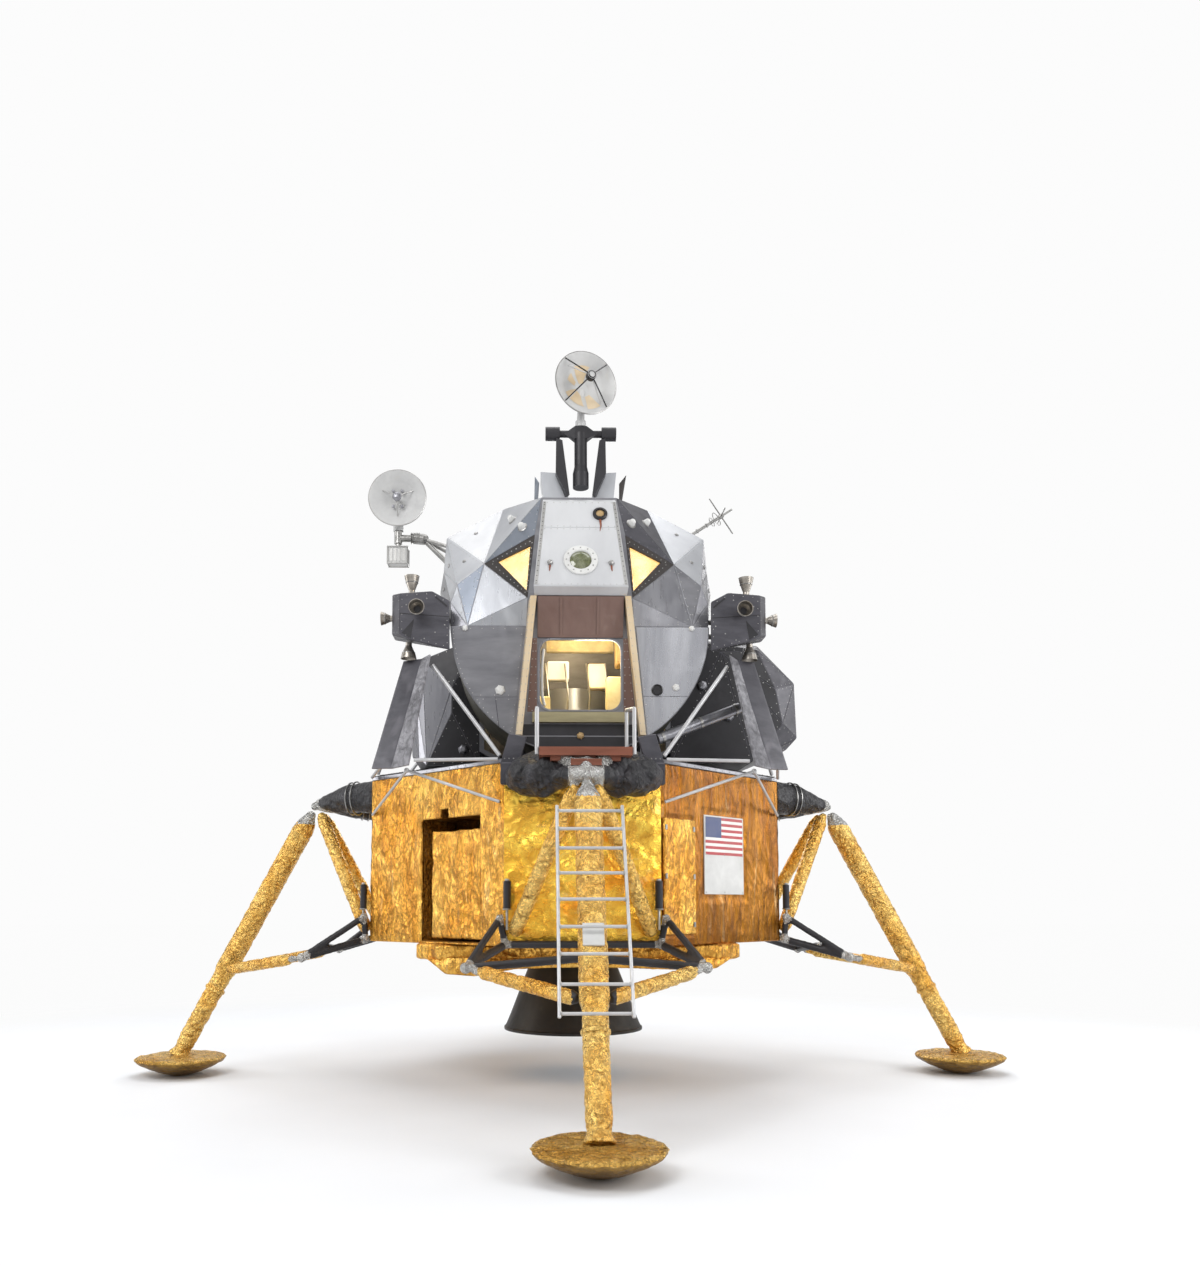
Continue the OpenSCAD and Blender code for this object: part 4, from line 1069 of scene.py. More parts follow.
# bright edge strips down both sides
for sx in (-1, 1):
    for z0, z1 in ((4.78, 5.23), (5.235, 5.69)):
        q = [on_nose(sx * (nose_w(z0) - 0.004), z0), on_nose(sx * (nose_w(z0) - .036), z0), on_nose(sx * (nose_w(z1) - .036), z1), on_nose(sx * (nose_w(z1) - 0.004), z1)]
        pl.plate([p + nn * 0.0032 for p in q], PI["bare"], nn, rivets=0.05, edge=0.014, gap=0.001, rm=PI["black_smooth"], rr=0.004)
pl.make("nose_plates", PM, slot="white_paint")

b = Build()
BM = ["white_paint", "lens", "steel", "dark_metal", "tan", "red_brown_spot", "bare", "black_gloss"]
BI = {n: i for i, n in enumerate(BM)}
p = on_nose(0, 5.038)
b.lathe(p, nn, [(.162, 0.002), (.162, .016), (.155, .022), (.112, .024), (.104, .018), (.100, .006)], BI["white_paint"], 48, False)
b.lathe(p, nn, [(.103, 0.004), (.098, .010), (.07, .019), (.035, .024), (.004, .026)], BI["lens"], 40)
for a in range(12):
    t = a * math.pi / 6
    q = p + Vector((math.cos(t), 0, 0)) * .134 + dn * math.sin(t) * .134
    b.rivet(q + nn * .024, nn, .007, .004, BI["steel"], 8)
p = on_nose(.195, 5.55)
b.lathe(p, nn, [(.070, 0.002), (.070, .02), (.060, .028), (.046, .03), (.040, .018)], BI["dark_metal"], 28, False)
b.lathe(p, nn, [(.044, 0.003), (.038, .016), (.018, .024), (.003, .026)], BI["tan"], 24)
b.tube([on_nose(.195, 5.49) + nn * .006, on_nose(.20, 5.42) + nn * .005, on_nose(.19, 5.36) + nn * .004], [.012, .008, .003], BI["red_brown_spot"], 8)
for sx in (-1, 1):
    p = on_nose(sx * .287, 5.01)
    b.lathe(p, nn, [(.030, 0.002), (.030, .012), (.022, .03), (.014, .036), (.003, .038)], BI["steel"], 6)
    b.tube([p + nn * .006 + dn * -.03, p + nn * .005 + dn * -.09 + Vector((sx * .006, 0, 0))], [.010, .004], BI["red_brown_spot"], 8)
b.make("nose_lights", BM, slot="bare_metal")

# window frames round the glass
b = Build()
for sx in (1, -1):
    WB, WT, WO = [Vector((sx * x, y, z)) for x, y, z in ((.497, -1.75, 4.715), (.428, -1.75, 5.325), (.915, -1.6, 5.09))]
    n = newell([WT, WB, WO])
    if n.y > 0:
        n = -n
    G = [WT * .80 + WB * .14 + WO * .06, WT * .09 + WB * .88 + WO * .03, WT * .19 + WB * .09 + WO * .72]
    O = [WT, WB, WO]
    c = sum(G, Vector()) / 3
    O = [p_ + (c - p_).normalized() * .004 for p_ in O]
    G2 = [p_ + (c - p_).normalized() * .004 for p_ in G]
    G3 = [p_ + (c - p_).normalized() * .008 for p_ in G]
    for i in range(3):
        j = (i + 1) % 3
        b.prism([O[i], O[j], G2[j], G2[i]], n, .007, 0, 0)
        b.add([G2[i] + n * .007, G2[j] + n * .007, G3[j] + n * -.016, G3[i] + n * -.016], [[0, 1, 2, 3]], 1)
        mp = [O[i].lerp(G2[i], .5), O[j].lerp(G2[j], .5)]
        L = (mp[1] - mp[0]).length
        for q in range(int(L / .05)):
            b.rivet(mp[0].lerp(mp[1], (q + .5) / int(L / .05)) + n * .007, n, .005, .003, 2, 6)
b.make("window_frames", ["frame_black", "frame_black", "steel"], slot="dark_metal")

# hood ribs, seams and front fittings
b = Build()
BM = ["brown_paint", "black_smooth", "white_paint", "steel", "bare", "tan", "mid_panel", "black_gloss", "charcoal", "cream"]
BI = {n: i for i, n in enumerate(BM)}
hd = (Vector((0, -1.893, 4.690)) - Vector((0, -1.757, 4.335)))
hn = Vector((0, -hd.z, hd.y)).normalized()


def on_hood(x, t):
    return Vector((x, -1.757, 4.335)) + hd * t


for x in (-.181, .164):
    b.prism([on_hood(x - .011, .02), on_hood(x + .011, .02), on_hood(x + .011, .97), on_hood(x - .011, .97)], hn, .010, BI["brown_paint"], .003)
b.prism([on_hood(-.40, .0), on_hood(.40, .0), on_hood(.40, .05), on_hood(-.40, .05)], hn, .009, BI["brown_paint"], .003)
for x, z, m, r in ((-.753, 3.83, "white_paint", .05), (-1.086, 4.418, "white_paint", .03), (1.053, 4.425, "white_paint", .03)):
    b.lathe((x, -1.7535, z), (0, -1, 0), [(r, 0), (r, .008), (r * .8, .02), (r * .55, .026), (r * .1, .028)], BI[m], 6)
b.lathe((.724, -1.7535, 3.836), (0, -1, 0), [(.055, 0), (.055, .010), (.046, .014), (.040, .006), (.005, .005)], BI["black_gloss"], 28)
b.lathe((.90, -1.7535, 3.86), (0, -1, 0), [(.036, 0), (.036, .010), (.026, .018), (.004, .02)], BI["white_paint"], 6)
b.lathe((0, -1.7535, 3.40), (0, -1, 0), [(.035, 0), (.035, .014), (.024, .024), (.005, .028)], BI["tan"], 6)
# vertical seam strip on the left lower plate
b.prism([(-.80, -1.7535, 3.76), (-.794, -1.7535, 3.76), (-.76, -1.7535, 3.48), (-.766, -1.7535, 3.48)], (0, -1, 0), .003, BI["charcoal"])
# thin bright rim round the hatch opening
import itertools
rim = []
for (cx, cz, a0) in ((.28, 4.208, 0), (-.28, 4.208, 90), (-.28, 3.75, 180), (.28, 3.75, 270)):
    for a in range(0, 91, 15):
        t = math.radians(a0 + a)
        rim.append((cx + .117 * math.cos(t), cz + .117 * math.sin(t)))
k = len(rim)
v, f = [], []
for s, y in ((1.0, -1.7510), (1.0, -1.7585), (.955, -1.7585), (.955, -1.7500)):
    for x, z in rim:
        v.append((x * s + 0, y, 3.979 + (z - 3.979) * (s if s == 1 else .962)))
for j in range(3):
    for i in range(k):
        f.append([j * k + i, j * k + (i + 1) % k, (j + 1) * k + (i + 1) % k, (j + 1) * k + i])
b.add(v, f, BI["mid_panel"])
b.make("front_fittings", BM, slot="bare_metal")

# rivets on the two front beams
b = Build()
for sx in (-1, 1):
    A0, A1 = Vector((sx * .5785, -1.905, 3.385)), Vector((sx * .4485, -1.905, 4.690))
    for i in range(18):
        p_ = A0.lerp(A1, (i + .5) / 18)
        for e_ in (-.020, .020):
            b.rivet(p_ + Vector((e_, -.0002, 0)), (0, -1, 0), .0055, .003, 1, 6)
b.make("beam_rivets", ["steel", "bare"], slot="bare_metal")

# docking lights on the shoulders, small domes and hex caps over the panels
b = Build()


def on_tri(a, bb, c, u, v_):
    a, bb, c = Vector(a), Vector(bb), Vector(c)
    n = (bb - a).cross(c - a).normalized()
    p_ = a * (1 - u - v_) + bb * u + c * v_
    if n.dot(p_ - Vector((0, -1.0, 4.8))) < 0:
        n = -n
    return p_, n


for sx, tri, u, v_ in ((-1, (7, 8, 4), .30, .30), (-1, (6, 7, 4), .42, .30), (1, (7, 8, 4), .30, .34), (1, (6, 7, 4), .45, .2)):
    q = [Vector((CPR[i].x * sx, CPR[i].y, CPR[i].z)) for i in tri]
    p_, n = on_tri(*q, u, v_)
    b.lathe(p_, n, [(.036, 0), (.036, .02), (.027, .05), (.014, .062), (.003, .066)], 0, 18)
    b.lathe(p_, n, [(.05, 0), (.05, .008), (.037, .012)], 1, 18)
for sx in (-1, 1):
    for tri, u, v_ in (((8, 9, 4), .4, .25), ((9, 10, 3), .35, .35), ((10, 11, 2), .4, .3), ((9, 3, 4), .3, .4)):
        q = [Vector((CPR[i].x * sx, CPR[i].y, CPR[i].z)) for i in tri]
        p_, n = on_tri(*q, u, v_)
        b.lathe(p_ + n * .003, n, [(.022, 0), (.022, .008), (.014, .012), (.002, .013)], 1, 6)
b.make("panel_lights", ["white_paint", "steel"], slot="white_paint")

# ------------------------------------------------------------------ deflectors
def sheet_patch(b, p00, p10, p11, p01, nu, nv, th, amp, seed, m, out, scale=4.0, oct_=4):
    """A thick sheet over a four-cornered patch, creased on its outer side, closed at its edges."""
    c = [np.array(q, float) for q in (p00, p10, p11, p01)]
    u, v_ = np.meshgrid(np.linspace(0, 1, nu), np.linspace(0, 1, nv))
    u, v_ = u.ravel()[:, None], v_.ravel()[:, None]
    P = c[0] * (1 - u) * (1 - v_) + c[1] * u * (1 - v_) + c[2] * u * v_ + c[3] * (1 - u) * v_
    n = np.cross(c[1] - c[0], c[3] - c[0])
    n /= np.linalg.norm(n)
    if np.dot(n, out) < 0:
        n = -n
    h = crumple(P, scale, oct_, seed)
    e_ = np.minimum(np.minimum(u, 1 - u) / .04, np.minimum(v_, 1 - v_) / .04).clip(0, 1)[:, 0]
    F = P + n * (th / 2 + amp * h * (.3 + .7 * e_))[:, None]
    Bk = P - n * (th / 2 + .4 * amp * h * (.3 + .7 * e_))[:, None]
    V = np.vstack([F, Bk])
    k = nu * nv
    fs = []
    flip = np.dot(np.cross(c[1] - c[0], c[3] - c[0]), out) < 0
    for j in range(nv - 1):
        for i in range(nu - 1):
            a = j * nu + i
            q = [a, a + 1, a + nu + 1, a + nu]
            fs.append(q[::-1] if flip else q)
            r = [x + k for x in q]
            fs.append(r if flip else r[::-1])
    ring = [i for i in range(nu)] + [j * nu + nu - 1 for j in range(1, nv)] + [(nv - 1) * nu + i for i in range(nu - 2, -1, -1)] + [j * nu for j in range(nv - 2, 0, -1)]
    for i in range(len(ring)):
        a, c_ = ring[i], ring[(i + 1) % len(ring)]
        q = [a, a + k, c_ + k, c_]
        fs.append(q[::-1] if flip else q)
    b.add(V, fs, m)


b = Build()
T = [(1.677, -1.573, 4.140), (1.486, -1.700, 4.135), (1.402, -1.827, 4.145)]
Bq = [(1.935, -1.784, 3.080), (1.728, -1.970, 3.058), (1.560, -2.116, 3.070)]
for sx in (-1, 1):
    for sy in (-1, 1):
        def Q(p_, d=(0, 0, 0)):
            return (p_[0] * sx, p_[1] * -sy * -1 if sy < 0 else -p_[1], p_[2])
        def Q(p_):
            return (p_[0] * sx, p_[1] if sy < 0 else -p_[1], p_[2])
        o_ = (sx * 1.0, 1.0 * sy, .3)
        sheet_patch(b, Q(T[0]), Q(T[1]), Q(Bq[1]), Q(Bq[0]), 17, 60, .014, .006, 3, 0, o_, 3.0, 3)
        sheet_patch(b, Q(T[1]), Q(T[2]), Q(Bq[2]), Q(Bq[1]), 17, 60, .014, .012, 4, 1, o_, 5.0, 4)
b.make("deflector_sheets", ["charcoal", "cloth_grey"], smooth=True, slot="dark_panel", replaces=["plume_deflectors"])

# ------------------------------------------------------------------ sign plate: stripes and a blank lower half
s2 = math.sqrt(.5)


def rf(u, v_, z):
    """Right front diagonal face: u along it, v_ outwards, z up (mm)."""
    return Vector((.700 + (u * s2 + v_ * s2) / 1000, -2.090 + (u * s2 - v_ * s2) / 1000, z / 1000))


nf = Vector((s2, -s2, 0))
b = Build()
b.prism([rf(655, 2, 1922), rf(1310, 2, 1922), rf(1310, 2, 2672), rf(655, 2, 2672)], nf, .014, 0, .002)
for u in (675, 982, 1290):
    for z in (1940, 2300, 2654):
        b.rivet(rf(u, 16, z), nf, .008, .004, 1, 8)
b.make("sign_board", ["white_paint", "steel"], slot="white_paint", replaces=["sign_plate"])
b = Build()
b.prism([rf(672, 16, 2296), rf(1294, 16, 2296), rf(1294, 16, 2658), rf(672, 16, 2658)], nf, .002, 0, .0006)
b.make("striped_plate", ["striped"], slot="white_paint")
# stowage cover's clips
b = Build()
for u in (40, 460):
    for z in (1640, 2080, 2520):
        b.prism([rf(u - 14, 34, z - 24), rf(u + 14, 34, z - 24), rf(u + 14, 34, z + 24), rf(u - 14, 34, z + 24)], nf, .008, 0, .003)
b.make("cover_clips", ["steel"], slot="bare_metal")

# ------------------------------------------------------------------ dishes
def rot_z(p_, a):
    c_, s_ = math.cos(a), math.sin(a)
    return Vector((p_[0] * c_ - p_[1] * s_, p_[0] * s_ + p_[1] * c_, p_[2]))


RA = Vector((.020, -1.520, 6.420))
yaw = math.radians(17)


def RD(x, out, z):
    """Point in the rendezvous dish's frame: x across, out in front of the dish centre, z up from it."""
    return RA + rot_z((x, -.058 - out, .445 + z), yaw)


b = Build()
rim = [RD(.309 * math.cos(t), .098, .309 * math.sin(t)) for t in np.linspace(0, 2 * math.pi, 65)]
b.tube(rim, .006, 0, 8)
for a in (45, 135, 225, 315):
    t = math.radians(a)
    b.tube([RD(.30 * math.cos(t), .10, .30 * math.sin(t)), RD(.16 * math.cos(t), .175, .16 * math.sin(t)), RD(.036 * math.cos(t), .236, .036 * math.sin(t))], .0065, 1, 8)
hub = (RD(0, 1, 0) - RD(0, 0, 0)).normalized()
b.lathe(RD(0, .205, 0), hub, [(.030, 0), (.046, .008), (.048, .05), (.044, .062), (.030, .072), (.028, .062), (.004, .060)], 1, 24)
for a in range(0, 360, 45):      # stiffening ribs behind the dish
    t = math.radians(a + 22)
    b.tube([RD(.06 * math.cos(t), -.044, .06 * math.sin(t)), RD(.20 * math.cos(t), .014, .20 * math.sin(t)), RD(.30 * math.cos(t), .082, .30 * math.sin(t))], .006, 2, 6)
b.make("radar_dish_fittings", ["steel", "black_gloss", "steel"], "radar_dish", smooth=True, slot="dark_metal")
# tan patches on the dish face
b = Build()
for (r0, r1, t0, t1) in ((.06, .22, 200, 262), (.05, .2, 70, 118), (.09, .25, 285, 318), (.08, .17, 140, 168)):
    v, f = [], []
    nr_, nt_ = 7, 9
    for i in range(nr_):
        for j in range(nt_):
            r_ = r0 + (r1 - r0) * i / (nr_ - 1)
            t_ = math.radians(t0 + (t1 - t0) * j / (nt_ - 1)) + .15 * math.sin(9 * r_ + t0)
            prof = np.interp(r_, [0, .06, .195, .300, .312], [-.024, -.022, .038, .104, .104])
            v.append(RD(r_ * math.cos(t_), prof + .0025, r_ * math.sin(t_)))
    for i in range(nr_ - 1):
        for j in range(nt_ - 1):
            a = i * nt_ + j
            f.append([a, a + 1, a + nt_ + 1, a + nt_])
    b.add(v, f, 0)
b.make("radar_dish_patches", ["cream"], "radar_dish", smooth=True, slot="cream_paint")
b = Build()
SA = Vector((-1.990, .250, 6.460))
rim = [SA + Vector((.327 * math.cos(t), -.079, .327 * math.sin(t))) for t in np.linspace(0, 2 * math.pi, 65)]
b.tube(rim, .006, 0, 8)
for a in (30, 150, 270):
    t = math.radians(a)
    b.tube([SA + Vector((.20 * math.cos(t), -.032, .20 * math.sin(t))), SA + Vector((.03 * math.cos(t), -.112, .03 * math.sin(t)))], .006, 0, 6)
b.lathe(SA + Vector((0, -.095, 0)), (0, -1, 0), [(.036, 0), (.052, .006), (.052, .02), (.03, .032), (.006, .034)], 1, 20)
for x in (-.05, .05):
    for z in (-.09, .09):
        b.lathe(SA + Vector((x, -.015 - .02, z)), (0, -1, 0), [(.018, 0), (.018, .02), (.010, .026), (.002, .027)], 1, 12)
for a in range(0, 360, 60):
    t = math.radians(a)
    b.tube([SA + Vector((.06 * math.cos(t), .034, .06 * math.sin(t))), SA + Vector((.21 * math.cos(t), -.012, .21 * math.sin(t))), SA + Vector((.315 * math.cos(t), -.062, .315 * math.sin(t)))], .007, 0, 6)
b.make("antenna_dish_fittings", ["bare", "mid_panel"], "antenna_dish", smooth=True, slot="bare_metal")
# white framed electronics box hanging under the steerable antenna
b = Build()
b.box((-1.990, .300, 5.815), (.215, .13, .195), 0, .008)
for x in (-.112, .112):
    for y in (-.068, .068):
        b.tube([(-1.990 + x, .300 + y, 5.712), (-1.990 + x, .300 + y, 5.918)], .010, 1, 8)
    for z in (5.718, 5.912):
        b.tube([(-1.990 + x, .232, z), (-1.990 + x, .368, z)], .008, 1, 8)
for z in (5.718, 5.912):
    for y in (-.068, .068):
        b.tube([(-2.102, .300 + y, z), (-1.878, .300 + y, z)], .010, 1, 8)
b.tube([(-1.990, .300, 5.91), (-1.990, .300, 5.975)], .030, 1, 14)
for i in range(4):
    b.box((-1.990 + .048 * (i - 1.5), .233, 5.815), (.030, .006, .15), 1, .002)
b.make("antenna_box", ["white_paint", "bare"], "antenna_gimbal", slot="white_paint")
b = Build()
for i in range(6):       # ribbed collar beside it
    b.lathe((-1.845 + .018 * i, .300, 6.03), (1, 0, 0), [(.060, 0), (.066, .004), (.066, .009), (.060, .013)], 0, 18)
b.make("boom_collar", ["steel"], "lander", smooth=True, slot="bare_metal")

# ------------------------------------------------------------------ ladder clamps and strut collars
b = Build()
RUNG = [.026, .12, .219, .343, .47, .599, .723, .857, .983]
LT_, LB_ = Vector((0, -3.195, 2.600)), Vector((0, -4.012, 1.030))
for i in range(9):
    t = RUNG[i]
    c = LT_.lerp(LB_, t)
    for sx in (-1, 1):
        x = sx * (.258 + .004 * t)
        b.lathe((x - .02 * sx, c.y, c.z), (sx, 0, 0), [(.015, 0), (.019, .003), (.019, .010), (.015, .013)], 0, 10)
b.make("ladder_sockets", ["bare"], smooth=True, slot="bare_metal")


def strut_at(z):
    return Vector((0, -(2.817 + (2.906 - z) / (2.906 - .250) * 1.413), z))


def four(p_, k):
    x, y, z = p_
    return [(x, y, z), (-y, x, z), (-x, -y, z), (y, -x, z)][k]


b = Build()
ax = (strut_at(.3) - strut_at(2.9)).normalized()
for k in range(4):
    for z, r, l, m in ((2.69, .104, .03, 0), (.93, .108, .04, 0)):
        p_ = Vector(four(strut_at(z), k))
        d = Vector(four(ax, k))
        prof = [(r - .008, 0), (r, l * .2), (r + .002, l * .5), (r, l * .8), (r - .008, l)]
        b.lathe(p_, d, prof, m, 28)
b.make("strut_bands", ["gold_wrap", "silver_foil"], smooth=True, slot="gold_foil")

# deck edge trim, a thin pale strip round the top of the stage
b = Build()
for i in range(8):
    a, c = Vector((*OCT[i], 3.118)), Vector((*OCT[(i + 1) % 8], 3.118))
    n = Vector(((c - a).y, -(c - a).x, 0)).normalized()
    b.prism([a + Vector((0, 0, -.014)), c + Vector((0, 0, -.014)), c + Vector((0, 0, .014)), a + Vector((0, 0, .014))], n, .008, 0, .002)
    L = (c - a).length
    for j in range(int(L / .11)):
        b.rivet(a.lerp(c, (j + .5) / int(L / .11)) + n * .008, n, .007, .004, 1, 6)
b.make("deck_trim", ["mid_panel", "steel"], slot="dark_panel")

# crinkled deck sheet
b = Build()
V = []
k = 64
g_ = np.linspace(-2.085, 2.085, k * 2 + 1)
X, Y = np.meshgrid(g_, g_)
P_ = np.column_stack([X.ravel(), Y.ravel(), np.full(X.size, 3.146)])
ins = (np.abs(P_[:, 0]) + np.abs(P_[:, 1]) < 2.785)
P_[:, 2] += .012 * crumple(P_, 3.5, 4, 12)
idx = np.arange(len(P_)).reshape(k * 2 + 1, k * 2 + 1)
fs = []
for j in range(2 * k):
    for i in range(2 * k):
        q = [idx[j, i], idx[j, i + 1], idx[j + 1, i + 1], idx[j + 1, i]]
        if all(ins[r_] for r_ in q):
            fs.append([int(r_) for r_ in q])
b.add(P_, fs, 0)
o = b.make("deck_blanket", ["deck"], smooth=True, slot="dark_blanket")

# ------------------------------------------------------------------ boots between the struts and the pads
def blob(name, parts, mats, voxel, amp, scale, seed, body="lander", pick=None, inward=0.4, smooth_it=4, stretch=(1, 1, 1)):
    """Soft wrapped lump: overlapping turned solids joined by a voxel remesh, smoothed and creased."""
    bb = Build()
    for p_, d_, prof in parts:
        bb.lathe(p_, d_, prof, 0, 24)
    me = bpy.data.meshes.new(name)
    me.from_pydata(bb.v, [], bb.f)
    o = bpy.data.objects.new(name, me)
    scene.collection.objects.link(o)
    md = o.modifiers.new("r", "REMESH")
    md.mode = "VOXEL"
    md.voxel_size = voxel
    dg = bpy.context.evaluated_depsgraph_get()
    me2 = bpy.data.meshes.new_from_object(o.evaluated_get(dg))
    o.modifiers.clear()
    o.data = me2
    bpy.data.meshes.remove(me)
    n = len(me2.vertices)
    co = np.zeros(n * 3)
    me2.vertices.foreach_get("co", co)
    co = co.reshape(-1, 3)
    ed = np.zeros(len(me2.edges) * 2, int)
    me2.edges.foreach_get("vertices", ed)
    ed = ed.reshape(-1, 2)
    cnt = np.bincount(ed.ravel(), minlength=n).astype(float)[:, None]
    for _ in range(smooth_it):
        s_ = np.zeros((n, 3))
        np.add.at(s_, ed[:, 0], co[ed[:, 1]])
        np.add.at(s_, ed[:, 1], co[ed[:, 0]])
        co = co * .45 + s_ / cnt * .55
    me2.vertices.foreach_set("co", co.ravel())
    me2.update()
    nr = np.zeros(n * 3)
    me2.vertices.foreach_get("normal", nr)
    co = co + nr.reshape(-1, 3) * (amp * (crumple(co * np.array(stretch), scale, 4, seed) - inward))[:, None]
    me2.vertices.foreach_set("co", co.ravel())
    me2.materials.clear()
    for m in mats:
        me2.materials.append(MAT[m])
    idx = np.zeros(len(me2.polygons), np.int32)
    if pick is not None:
        c = np.zeros(len(me2.polygons) * 3)
        me2.polygons.foreach_get("center", c)
        idx = np.asarray(pick(c.reshape(-1, 3)), np.int32)
    me2.polygons.foreach_set("material_index", idx)
    me2.polygons.foreach_set("use_smooth", [True] * len(me2.polygons))
    me2.update()
    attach(o, body)
    return o


parts = []
for k in range(4):
    p_ = Vector(four(strut_at(.375), k))
    q_ = Vector(four((0, -4.230, .236), k))
    d_ = q_ - p_
    l_ = d_.length
    parts.append((p_, d_, [(.082, 0), (.088, l_ * .3), (.082, l_ * .6), (.088, l_ * .9), (.108, l_ + .004), (.122, l_ + .028)]))
blob("strut_boots", parts, ["gold_wrap"], .010, .012, 10, 21)


# soft black sacks and the silver-wrapped fitting under the porch
def egg(c, r, l, d_):
    return (Vector(c) - Vector(d_).normalized() * l / 2, d_, [(r * math.sin(t), l * (1 - math.cos(t)) / 2) for t in np.linspace(.12, math.pi - .12, 9)])


parts = []
for sx in (-1, 1):
    parts += [egg((sx * .42, -2.29, 2.970), .190, .50, (1, sx * -.25, -.10 * sx)), egg((sx * .34, -2.42, 2.915), .150, .40, (1, sx * -.5, .2 * sx)),
              egg((sx * .55, -2.24, 2.960), .150, .26, (.3, 0, 1)), egg((sx * .26, -2.48, 3.000), .110, .28, (1, sx * -.2, .5 * sx))]
blob("porch_sacks", parts, ["black_blanket"], .0125, .075, 2.9, 31, inward=.55, smooth_it=5)
parts = [egg((0, -2.66, 2.985), .085, .40, (1, 0, 0)), egg((.13, -2.62, 3.02), .07, .22, (1, .3, .5)), egg((-.13, -2.62, 3.02), .07, .22, (1, -.3, -.5)),
         egg((0, -2.74, 2.93), .075, .22, (0, -.5, -1)), egg((.07, -2.72, 2.90), .05, .25, (.5, 0, -1)), egg((-.07, -2.72, 2.90), .05, .25, (-.5, 0, -1))]
blob("porch_fitting_wrap", parts, ["silver_foil"], .009, .022, 9, 33, inward=.5, smooth_it=2)
# grey boxes each side, in the corner between deck and skirt
b = Build()
for sx in (-1, 1):
    P4 = [(sx * .56, -2.13, 3.10), (sx * .74, -2.13, 3.08), (sx * .66, -2.13, 3.36), (sx * .50, -2.13, 3.33)]
    b.prism([(x, y + .05, z) for x, y, z in P4], (0, -1, 0), .05, 0, .008)
    b.box((sx * .66, -2.15, 2.99), (.15, .07, .20), 0, .012)
    for i in range(4):
        b.rivet((sx * (.58 + .04 * i), -2.131, 3.13), (0, -1, 0), .006, .003, 1, 6)
b.make("corner_boxes", ["charcoal", "steel"], slot="dark_panel")

# crumpled foil apron that hangs below the stage's front edges
def apron(name, pts, drop, mats, seed, fm=0):
    V, F = [], []
    n_ = []
    for a, c in zip(pts[:-1], pts[1:]):
        a, c = Vector(a), Vector(c)
        q = max(4, int((c - a).length / .014))
        n_ += [a.lerp(c, i / q) for i in range(q)]
    n_.append(Vector(pts[-1]))
    rows = 9
    for i, p_ in enumerate(n_):
        u = i / (len(n_) - 1)
        t_ = n_[min(i + 1, len(n_) - 1)] - n_[max(i - 1, 0)]
        o_ = Vector((t_.y, -t_.x, 0)).normalized()
        d_ = np.interp(u, *drop)
        for j in range(rows):
            w_ = j / (rows - 1)
            V.append(p_ + o_ * (.012 + .02 * math.sin(w_ * 2.4)) + Vector((0, 0, -d_ * w_)))
    V = np.array([tuple(v) for v in V])
    h = crumple(V * np.array([1, 1, .5]), 6, 4, seed)
    for i in range(len(n_)):
        t_ = n_[min(i + 1, len(n_) - 1)] - n_[max(i - 1, 0)]
        o_ = np.array([t_.y, -t_.x, 0]) / Vector((t_.x, t_.y, 0)).length
        for j in range(rows):
            V[i * rows + j] += o_ * (.03 * (h[i * rows + j] - .4)) * (.2 + j / rows)
            V[i * rows + j, 2] += .012 * (h[i * rows + j] - .5) * (j / rows)
    k = len(V)
    V2 = V.copy()
    V2[:, :2] *= .9985
    for i in range(len(n_) - 1):
        for j in range(rows - 1):
            a = i * rows + j
            F.append((a, a + 1, a + rows + 1, a + rows))
            F.append((k + a, k + a + rows, k + a + rows + 1, k + a + 1))
    for i in range(len(n_) - 1):
        a = i * rows + rows - 1
        F.append((a, k + a, k + a + rows, a + rows))
    return mesh_obj(name, np.vstack([V, V2]), F, mats)


apron("apron_front", [(-1.42, -1.45, 1.325), (-1.20, -1.585, 1.325), (-.72, -1.60, 1.325), (0, -1.61, 1.325), (.72, -1.60, 1.325), (1.20, -1.585, 1.325), (1.42, -1.45, 1.325)],
      ([0, .07, .16, .3, .5, .7, .86, .94, 1], [.02, .15, .17, .10, .085, .10, .12, .10, .02]), ["gold_diag"], 41)

# silver rods under the black spring housings, and their end caps
b = Build()
for k in range(4):
    for sx in (-1, 1):
        for z0, z1, r in ((1.60, 1.80, .012), (2.03, 2.05, .022), (1.775, 1.79, .040)):
            p_ = Vector(four((sx * .672, -2.180, z0), k))
            b.lathe(p_, (0, 0, 1), [(r * .9, 0), (r, .003), (r, z1 - z0 - .003), (r * .9, z1 - z0)], 0 if r < .03 else 1, 14)
b.make("spring_rods", ["bare", "steel"], smooth=True, slot="bare_metal")

# black discs set inside the small nozzles as painted shade in their throats, and a wound edge band on each
b = Build()
for sx in (-1, 1):
    for sy in (-1, 1):
        for p_, d_, l_, r_ in (((1.600, -1.640, 4.776), (0, 0, 1), .175, .072), ((1.625, -1.640, 4.306), (0, 0, -1), .155, .076), ((1.784, -1.600, 4.550), (1, 0, 0), .110, .066), ((1.520, -1.822, 4.560), (0, -1, 0), .150, .074)):
            p2 = Vector((p_[0] * sx, p_[1] * -sy if sy > 0 else p_[1], p_[2]))
            p2.y = -abs(p_[1]) if sy < 0 else abs(p_[1])
            d2 = Vector((d_[0] * sx, d_[1] if sy < 0 else -d_[1], d_[2]))
            b.lathe(p2 + d2 * l_ * .42, d2, [(r_ * .42, 0), (r_ * .44, .002), (.003, .004)], 0, 20)
            b.lathe(p2 + d2 * l_ * .60, d2, [(r_ * .785, 0), (r_ * .83, .002), (r_ * .84, .008), (r_ * .80, .010)], 1, 24, False)
